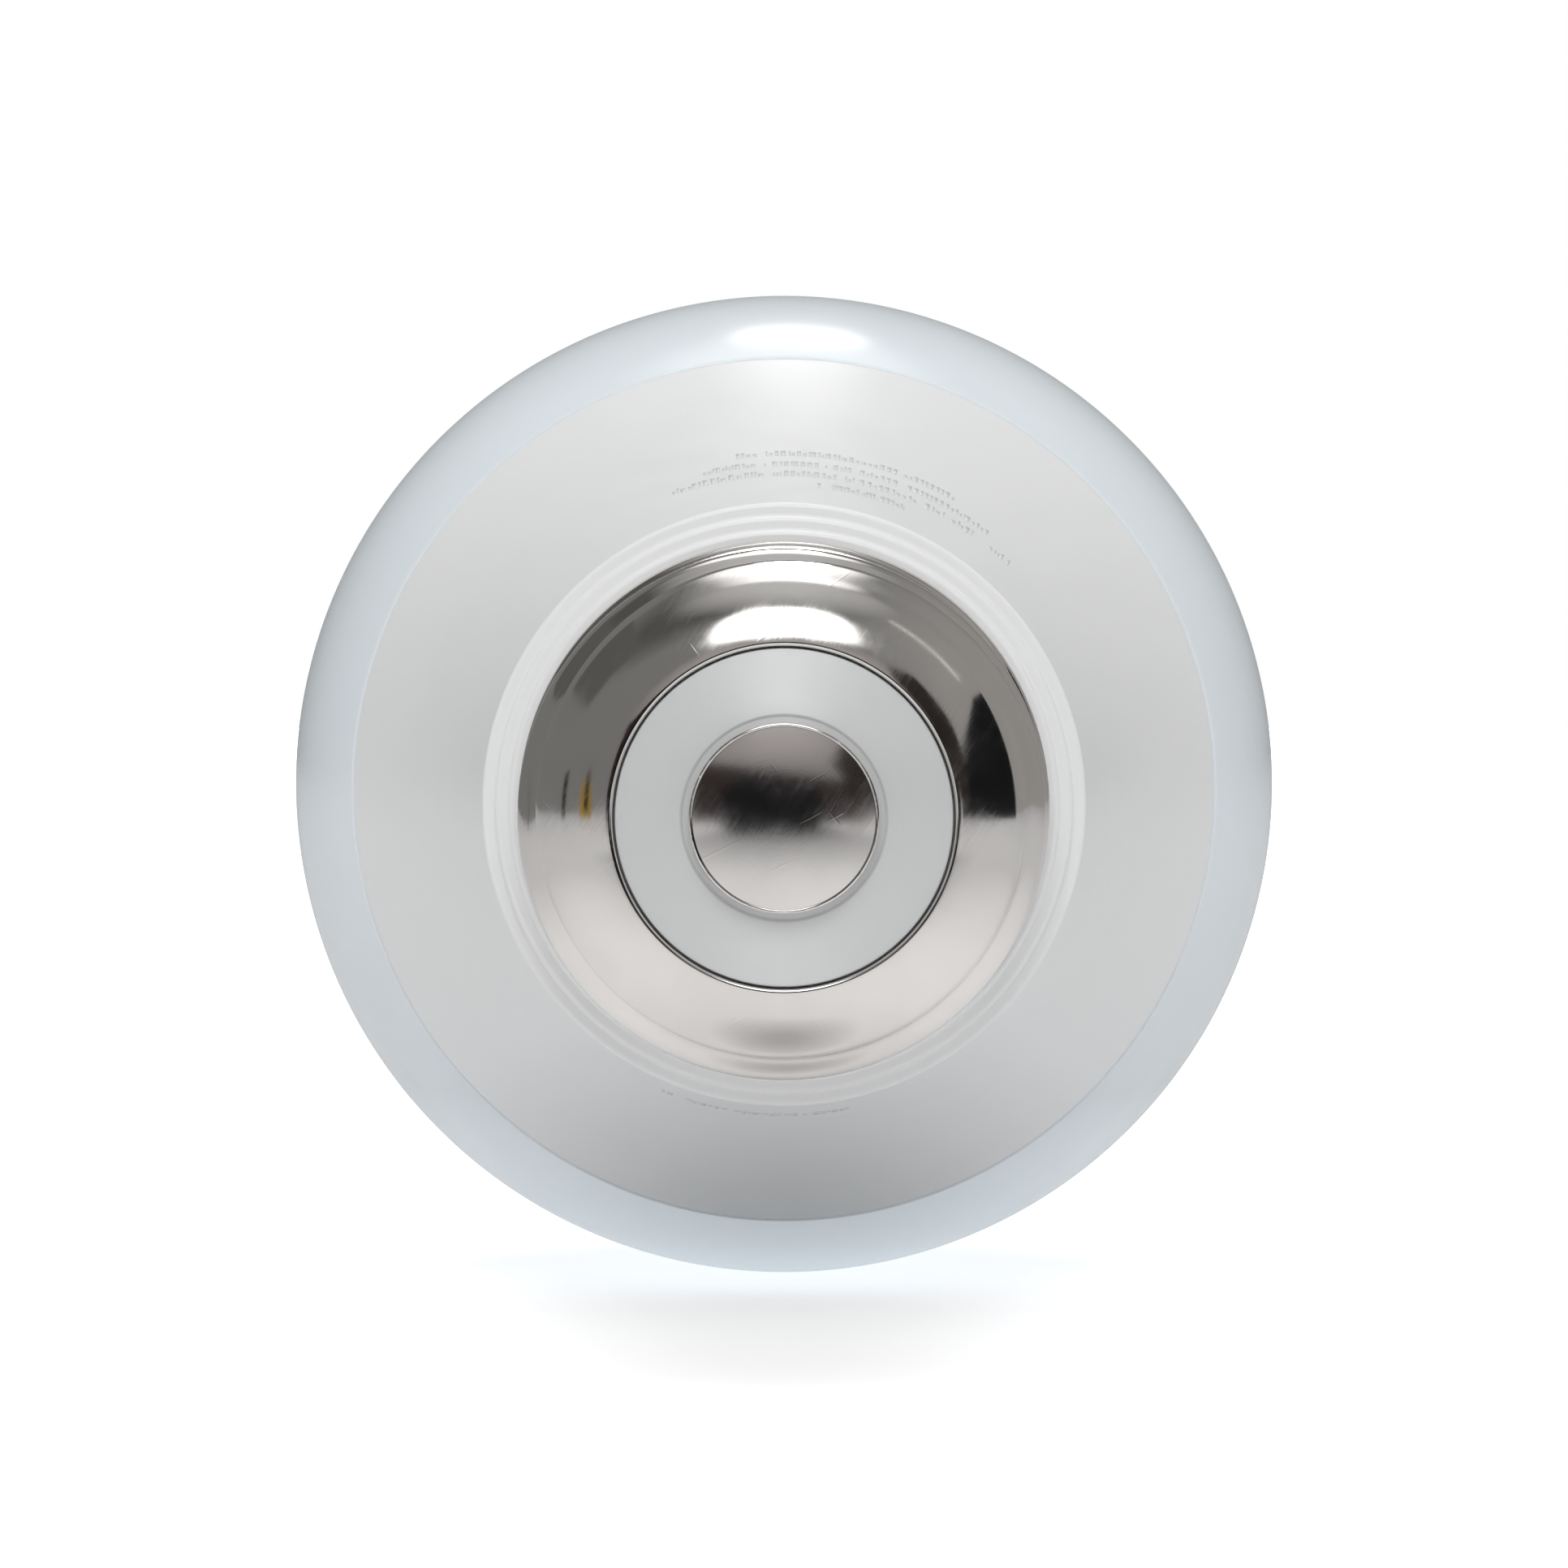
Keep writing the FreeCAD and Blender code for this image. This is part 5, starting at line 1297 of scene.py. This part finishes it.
@dataclass(frozen=True)
class Bulb:
    """The whole lamp: cap, housing with its print, diffuser and what they hold."""

    shell: ScrewShell = field(default_factory=ScrewShell)
    insulator: CapInsulator = field(default_factory=CapInsulator)
    contact: CentreContact = field(default_factory=CentreContact)
    housing: Housing = field(default_factory=Housing)
    rating: RatingPrint = field(default_factory=RatingPrint)
    diffuser: Diffuser = field(default_factory=Diffuser)
    inside: Inside = field(default_factory=Inside)

    def build(self) -> None:
        """Builds and dresses every piece."""
        nickel = PlatedSteel().material()
        contact_nickel = PlatedSteel("satin_nickel_contact", roughness=0.13, roughest=0.21).material()
        moulding = Finish("insulator_moulding", (0.640, 0.654, 0.654), (0.630, 0.644, 0.646), 0.54, 0.60,
                          mottle=2.5, grain_size=0.10, grain_depth=0.0012, stretch=0.9, gloss=1.0, index=2.1)
        white = Finish("white_housing_plastic", (0.850, 0.855, 0.855), (0.842, 0.848, 0.850), 0.30, 0.36,
                       mottle=9.0, grain_size=0.35, grain_depth=0.0012, bleed=0.05)
        ink = Finish("grey_print_ink", (0.71, 0.715, 0.72), (0.76, 0.765, 0.77), 0.5, 0.6, mottle=0.6)
        self.contact.build(contact_nickel)
        self.insulator.build(moulding.material(), Extent.of("centre_contact").radius)
        self.shell.build(nickel)
        self.housing.build(white.material())
        flare = self.housing.flare()
        self.rating.build(ink.material(), flare)
        self.diffuser.build(OpalPlastic().material(), self.housing.bore(flare))
        self.inside.build()


# ---- studio -----------------------------------------------------------------------------------------


@dataclass(frozen=True)
class Softbox:
    """A rectangular softbox that faces the bulb, placed on an arc over it.

    Attributes:
        name: Name of the lamp.
        climb: Degrees from straight in front of the cap, over the top, to behind the diffuser.
        distance: Metres from the cap.
        width: Metres across.
        length: Metres along the arc.
        power: Watts.
        lean: Degrees that it stands to the right.
        soft_edge: Share of the way from its middle to its edge over which it dims.
        squareness: 2 for an ellipse, more for squarer corners.
    """

    name: str
    climb: float
    distance: float
    width: float
    length: float
    power: float
    lean: float = 0.0
    soft_edge: float = 0.55
    squareness: float = 2.8

    def build(self) -> None:
        """Adds the lamp."""
        climb, lean = math.radians(self.climb), math.radians(self.lean)
        way = Vector((math.sin(lean) * math.sin(climb), -math.cos(climb), math.cos(lean) * math.sin(climb)))
        lamp = bpy.data.lights.new(self.name, "AREA")
        lamp.shape = "RECTANGLE"
        lamp.size, lamp.size_y = self.width, self.length
        lamp.energy = self.power
        self.soften(lamp)
        box = bpy.data.objects.new(self.name, lamp)
        box.location = way * self.distance
        box.rotation_euler = (-way).to_track_quat("-Z", "Y").to_euler()
        bpy.context.scene.collection.objects.link(box)

    def soften(self, lamp: bpy.types.AreaLight) -> None:
        """Rounds the lamp's corners and dims it towards its edges, as the cloth of a softbox does."""
        lamp.use_nodes = True
        nodes = Nodes(lamp.node_tree)
        across = nodes.add("ShaderNodeNewGeometry").outputs["Parametric"]
        split = nodes.add("ShaderNodeSeparateXYZ", {0: across}).outputs
        powers = []
        for axis in ("X", "Y"):
            off = nodes.math("ABSOLUTE", nodes.math("SUBTRACT", split[axis], 0.5))
            powers.append(nodes.math("POWER", nodes.math("MULTIPLY", off, 2.0), self.squareness))
        reach = nodes.math("POWER", nodes.math("ADD", *powers), 1 / self.squareness)
        inputs = {"Value": reach, "From Min": 1 - self.soft_edge, "To Min": 1.0, "To Max": 0.0}
        falls = nodes.add("ShaderNodeMapRange", inputs, interpolation_type="SMOOTHERSTEP").outputs["Result"]
        nodes.feed(nodes.tree.nodes["Emission"].inputs["Strength"], nodes.math("POWER", falls, 2.0))


def oval(middle: Place, half_width: float, half_height: float, steps: int = 32) -> tuple[Place, ...]:
    """Corners of an upright oval card that faces the cap: the middle plus cosine and sine of the half sizes.

    Args:
        middle: Its centre in metres.
        half_width: Half its size along X.
        half_height: Half its size along Z.
        steps: How many straight edges stand for the curve.

    Returns:
        The corners, once round the oval.
    """
    x, y, z = middle
    turns = [2.0 * math.pi * step / steps for step in range(steps)]
    return tuple((x + half_width * math.cos(turn), y, z + half_height * math.sin(turn)) for turn in turns)


@dataclass(frozen=True)
class Flag:
    """A card that only mirrors see: its corners in metres and how bright it is."""

    name: str
    points: tuple[Place, ...]
    colour: Colour = (0.008, 0.008, 0.009)

    def build(self) -> None:
        """Adds the card, hidden from everything but reflections."""
        mesh = bpy.data.meshes.new(self.name)
        mesh.from_pydata(self.points, [], [(0, n, n + 1) for n in range(1, len(self.points) - 1)])
        recipe = Recipe(self.name)
        glow = recipe.add("ShaderNodeEmission", {"Color": (*self.colour, 1), "Strength": 1.0})
        recipe.feed(recipe.tree.nodes["Material Output"].inputs["Surface"], glow.outputs[0])
        mesh.materials.append(recipe.material)
        card = bpy.data.objects.new(self.name, mesh)
        bpy.context.scene.collection.objects.link(card)
        card.visible_camera = card.visible_diffuse = card.visible_transmission = False
        card.visible_shadow = card.visible_volume_scatter = False


@dataclass(frozen=True)
class Studio:
    """Pale table, white surroundings, softboxes, the dark room that the plating mirrors, and the camera.

    Attributes:
        floor_size: Length of the table's sides in metres.
        floor_colour: Colour of the table.
        floor_glow: Glow that the table shows the camera near the bulb.
        floor_glow_run: Distances from the origin between which that glow rises to white.
        floor_mirror_glow: Glow that the table shows to mirrors.
        painted_far_falloff_share: Painted falloff: share of its brightness that the far table shows to
            mirrors.
        painted_far_falloff_run: Distances from the origin between which that painted falloff sets in.
        painted_front_shadow_share: The same share in a painted shadow of whoever looks at the cap.
        painted_front_shadow_run: Places along Y between which that painted shadow ends.
        painted_front_shadow_edge: Distances to the side between which that painted shadow ends.
        painted_cap_shadow: The same share in a painted shadow right under the cap.
        painted_cap_shadow_place: Place along Y of that painted shadow's middle.
        painted_cap_shadow_run: Distances from its middle between which that painted shadow ends.
        side_fill: Brightness of the surroundings at the level of the table.
        top_fill: Brightness of the surroundings overhead.
        room: Colour of the room in mirrors.
        right_room: Its colour on the right.
        right_run: Parts of the way along X between which it turns to that.
        dark_corner: Colour of its dark corner.
        dark_corner_way: Way to that corner.
        dark_corner_run: Closeness to that way between which it turns dark.
        zenith: Colour right overhead.
        zenith_run: Parts of the way along Z between which it turns to that.
        front: Colour of the front wall.
        front_run: Parts of the way along Y between which the front wall ends.
        front_rise: Parts of the way along Z between which it starts.
        softboxes: The lamps.
        flags: The cards that mirrors see.
        camera_place: Place of the camera in metres.
        camera_tilt: Its tilt from straight down, in degrees.
        camera_lens: Its focal length in millimetres.
        camera_sensor: Its sensor's width in millimetres.
        camera_clip: Distance in metres from which it sees.
    """

    floor_size: float = 6.0
    floor_colour: Colour = (0.90, 0.90, 0.905)
    floor_glow: float = 0.46
    floor_glow_run: Span = (0.16, 0.40)
    floor_mirror_glow: float = 0.08
    painted_far_falloff_share: float = 0.62
    painted_far_falloff_run: Span = (0.02, 0.12)
    painted_front_shadow_share: float = 0.08
    painted_front_shadow_run: Span = (-0.30, -0.085)
    painted_front_shadow_edge: Span = (0.06, 0.13)
    painted_cap_shadow: float = 0.60
    painted_cap_shadow_place: float = -0.001
    painted_cap_shadow_run: Span = (0.002, 0.011)
    side_fill: float = 0.26
    top_fill: float = 0.82
    room: Colour = (0.19, 0.19, 0.186)
    right_room: Colour = (0.31, 0.305, 0.295)
    right_run: Span = (0.2, 0.7)
    dark_corner: Colour = (0.085, 0.082, 0.078)
    dark_corner_way: Place = (-0.42, -0.10, 0.90)
    dark_corner_run: Span = (0.87, 0.97)
    zenith: Colour = (0.55, 0.55, 0.55)
    zenith_run: Span = (0.86, 0.99)
    front: Colour = (0.47, 0.435, 0.435)
    front_run: Span = (-0.93, -0.80)
    front_rise: Span = (0.19, 0.44)
    softboxes: tuple[Softbox, ...] = (
        Softbox("front_softbox", 48.0, 1.0, 0.80, 0.70, 9.5),
        Softbox("back_softbox", 116.0, 0.9, 0.80, 0.74, 2.2),
        Softbox("back_softbox_core", 133.0, 0.82, 0.24, 0.14, 0.9, 2.0),
    )
    flags: tuple[Flag, ...] = (
        Flag("camera_card", oval((-0.022, -0.25, 0.008), 0.082, 0.052), (0.003, 0.003, 0.004)),
        Flag("bench_card", ((-0.36, -0.6, CARD_FOOT), (0.31, -0.6, CARD_FOOT), (0.31, -0.6, 0.10),
                            (-0.36, -0.6, 0.20)), (0.022, 0.014, 0.013)),
        Flag("stand_card", ((0.17, -0.6, 0.18), (0.29, -0.6, 0.02), (0.52, -0.6, 0.02), (0.53, -0.6, 0.28),
                            (0.40, -0.6, 0.42), (0.27, -0.6, 0.36)), (0.022, 0.018, 0.016)),
        Flag("left_shelf", ((-0.87, -0.17, 0.46), (-0.65, -0.26, 0.72), (-0.58, 0.34, 0.74),
                            (-0.80, 0.37, 0.46)), (0.105, 0.102, 0.098)),
        Flag("right_tube", ((0.47, -0.25, 0.85), (0.78, -0.25, 0.58), (0.79, -0.19, 0.60),
                            (0.48, -0.19, 0.86)), (0.62, 0.61, 0.58)),
        Flag("right_card", ((0.999, 0.035, CARD_FOOT), (0.515, -0.857, CARD_FOOT), (0.674, -0.698, 0.242),
                            (0.840, -0.209, 0.500), (0.856, 0.045, 0.515))),
        Flag("left_post", ((-0.95, -0.27, CARD_FOOT), (-0.96, -0.20, CARD_FOOT), (-0.95, -0.20, 0.16),
                           (-0.94, -0.27, 0.18)), (0.02, 0.018, 0.014)),
        Flag("left_stripe", ((-0.72, -0.69, CARD_FOOT), (-0.85, -0.53, CARD_FOOT), (-0.84, -0.53, 0.13),
                             (-0.74, -0.67, 0.10)), (0.30, 0.19, 0.02)),
        Flag("left_sign", ((-0.75, -0.64, 0.00), (-0.80, -0.58, 0.00), (-0.79, -0.57, 0.16),
                           (-0.76, -0.62, 0.15)), (0.02, 0.018, 0.012)),
    )
    camera_place: Place = (0.0, -0.2815, 0.00757)
    camera_tilt: float = 88.8
    camera_lens: float = 134.63
    camera_sensor: float = 36.0
    camera_clip: float = 0.01

    @staticmethod
    def seen(nodes: Nodes) -> tuple[Socket, Socket]:
        """Gives 1 for what the camera sees straight or through glass, and 1 for what a mirror sees."""
        path = nodes.add("ShaderNodeLightPath").outputs
        direct = nodes.math("MAXIMUM", path["Is Camera Ray"], path["Is Transmission Ray"])
        return direct, path["Is Glossy Ray"]

    def painted_floor_shade_in_mirror(self, recipe: Recipe, away: Socket) -> Socket:
        """Share of its brightness that the table shows to mirrors.

        This is painted shade: a painted falloff with distance, a painted shadow of whoever looks at the cap,
        and a painted shadow right under the cap.
        """
        split = recipe.add("ShaderNodeSeparateXYZ", {0: recipe.place}).outputs
        # Painted falloff: the table shows mirrors less of its brightness further out.
        dims = recipe.span(away, *self.painted_far_falloff_run, 1.0, self.painted_far_falloff_share)
        # Painted shadow of whoever looks at the cap, on the table in front, seen only in mirrors.
        beside_painted_shadow = recipe.span(recipe.math("ABSOLUTE", split["X"]), *self.painted_front_shadow_edge, 0.0, 1.0)
        behind = recipe.span(split["Y"], *self.painted_front_shadow_run, self.painted_front_shadow_share, 1.0)
        painted_front_shadow = recipe.math("MAXIMUM", beside_painted_shadow, behind)
        # Painted shadow on the table right under the cap, seen only in mirrors.
        under = {0: recipe.place, 1: (0.0, self.painted_cap_shadow_place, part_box("diffuser")[0].z)}
        off = recipe.add("ShaderNodeVectorMath", under, operation="DISTANCE").outputs["Value"]
        cap = recipe.span(off, *self.painted_cap_shadow_run, self.painted_cap_shadow, 1.0)
        return recipe.math("MULTIPLY", recipe.math("MULTIPLY", dims, painted_front_shadow), cap)

    def floor(self) -> None:
        """Adds the table that the diffuser rests on, which glows up to white for the camera further out."""
        half, level = self.floor_size / 2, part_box("diffuser")[0].z
        mesh = bpy.data.meshes.new("table_top")
        edges = ((-half, -half, level), (half, -half, level), (half, half, level), (-half, half, level))
        mesh.from_pydata(edges, [], [(0, 1, 2, 3)])
        recipe = Recipe("pale_table")
        direct, mirrored = self.seen(recipe)
        away = recipe.add("ShaderNodeVectorMath", {0: recipe.place}, operation="LENGTH").outputs["Value"]
        # Painted shade: mirrors see the table's colour and glow darkened by the painted falloff and shadows.
        painted_mirror_share = self.painted_floor_shade_in_mirror(recipe, away)
        painted_dimming = recipe.math("MULTIPLY", mirrored, recipe.math("SUBTRACT", painted_mirror_share, 1.0))
        share = recipe.math("ADD", 1.0, painted_dimming)
        tone_with_painted_shade = recipe.add("ShaderNodeVectorMath", {0: self.floor_colour, "Scale": share}, operation="SCALE")
        rises = recipe.span(away, *self.floor_glow_run, self.floor_glow, 1.0)
        to_camera = recipe.math("MULTIPLY", direct, rises)
        mirror_view_with_painted_shade = recipe.math("MULTIPLY", mirrored, painted_mirror_share)
        mirror_glow_with_painted_shade = recipe.math("MULTIPLY", mirror_view_with_painted_shade, self.floor_mirror_glow)
        recipe.set(Base_Color=tone_with_painted_shade.outputs[0], Roughness=0.6, Specular_IOR_Level=0.0,
                   Emission_Color=(1, 1, 1, 1), Emission_Strength=recipe.math("ADD", to_camera, mirror_glow_with_painted_shade))
        mesh.materials.append(recipe.material)
        table = bpy.data.objects.new("table_top", mesh)
        bpy.context.scene.collection.objects.link(table)

    def room_in_mirror(self, nodes: Nodes, way: Socket) -> Socket:
        """The room as the plating mirrors it: dim, paler overhead and on the right, with a pale front wall."""
        split = nodes.add("ShaderNodeSeparateXYZ", {0: way}).outputs
        view = nodes.mix(nodes.span(split["X"], *self.right_run, 0, 1), self.room, self.right_room)
        corner = nodes.add("ShaderNodeVectorMath", {0: way, 1: self.dark_corner_way}, operation="DOT_PRODUCT")
        closeness = nodes.span(corner.outputs["Value"], *self.dark_corner_run, 0, 1)
        view = nodes.mix(closeness, view, self.dark_corner)
        view = nodes.mix(nodes.span(split["Z"], *self.zenith_run, 0, 1), view, self.zenith)
        in_front = nodes.span(split["Y"], *self.front_run, 1, 0)
        front_wall = nodes.math("MULTIPLY", in_front, nodes.span(split["Z"], *self.front_rise, 0, 1))
        return nodes.mix(front_wall, view, self.front)

    def world(self) -> None:
        """Lights the scene from all round, most from above: white to the camera, a dim room to mirrors."""
        world = bpy.data.worlds.new("studio")
        bpy.context.scene.world = world
        world.use_nodes = True
        nodes = Nodes(world.node_tree)
        way = nodes.add("ShaderNodeTexCoord").outputs["Generated"]
        height = nodes.add("ShaderNodeSeparateXYZ", {0: way}).outputs["Z"]
        direct, mirrored = self.seen(nodes)
        fill = nodes.mix(nodes.span(height, 0, 1, 0, 1), (self.side_fill,) * 3, (self.top_fill,) * 3)
        plain_view = nodes.mix(direct, fill, (1.0, 1.0, 1.0))
        view = nodes.mix(mirrored, plain_view, self.room_in_mirror(nodes, way))
        nodes.feed(world.node_tree.nodes["Background"].inputs["Color"], view)

    def camera(self) -> None:
        """Sets up the camera a little above the axis, looking at the contact."""
        lens = bpy.data.cameras.new("camera")
        lens.lens, lens.sensor_width = self.camera_lens, self.camera_sensor
        lens.clip_start = self.camera_clip
        camera = bpy.data.objects.new("camera", lens)
        camera.location = self.camera_place
        camera.rotation_euler = (math.radians(self.camera_tilt), 0, 0)
        bpy.context.scene.collection.objects.link(camera)
        bpy.context.scene.camera = camera

    def build(self) -> None:
        """Sets the whole stage."""
        bpy.context.scene.view_settings.view_transform = "Standard"
        self.floor()
        self.world()
        self.camera()
        for thing in (*self.softboxes, *self.flags):
            thing.build()


def main() -> None:
    logging.basicConfig(level=logging.INFO, format="%(name)s %(message)s")
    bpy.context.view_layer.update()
    Bulb().build()
    Studio().build()
    bpy.context.view_layer.update()


if __name__ == "__main__":
    main()
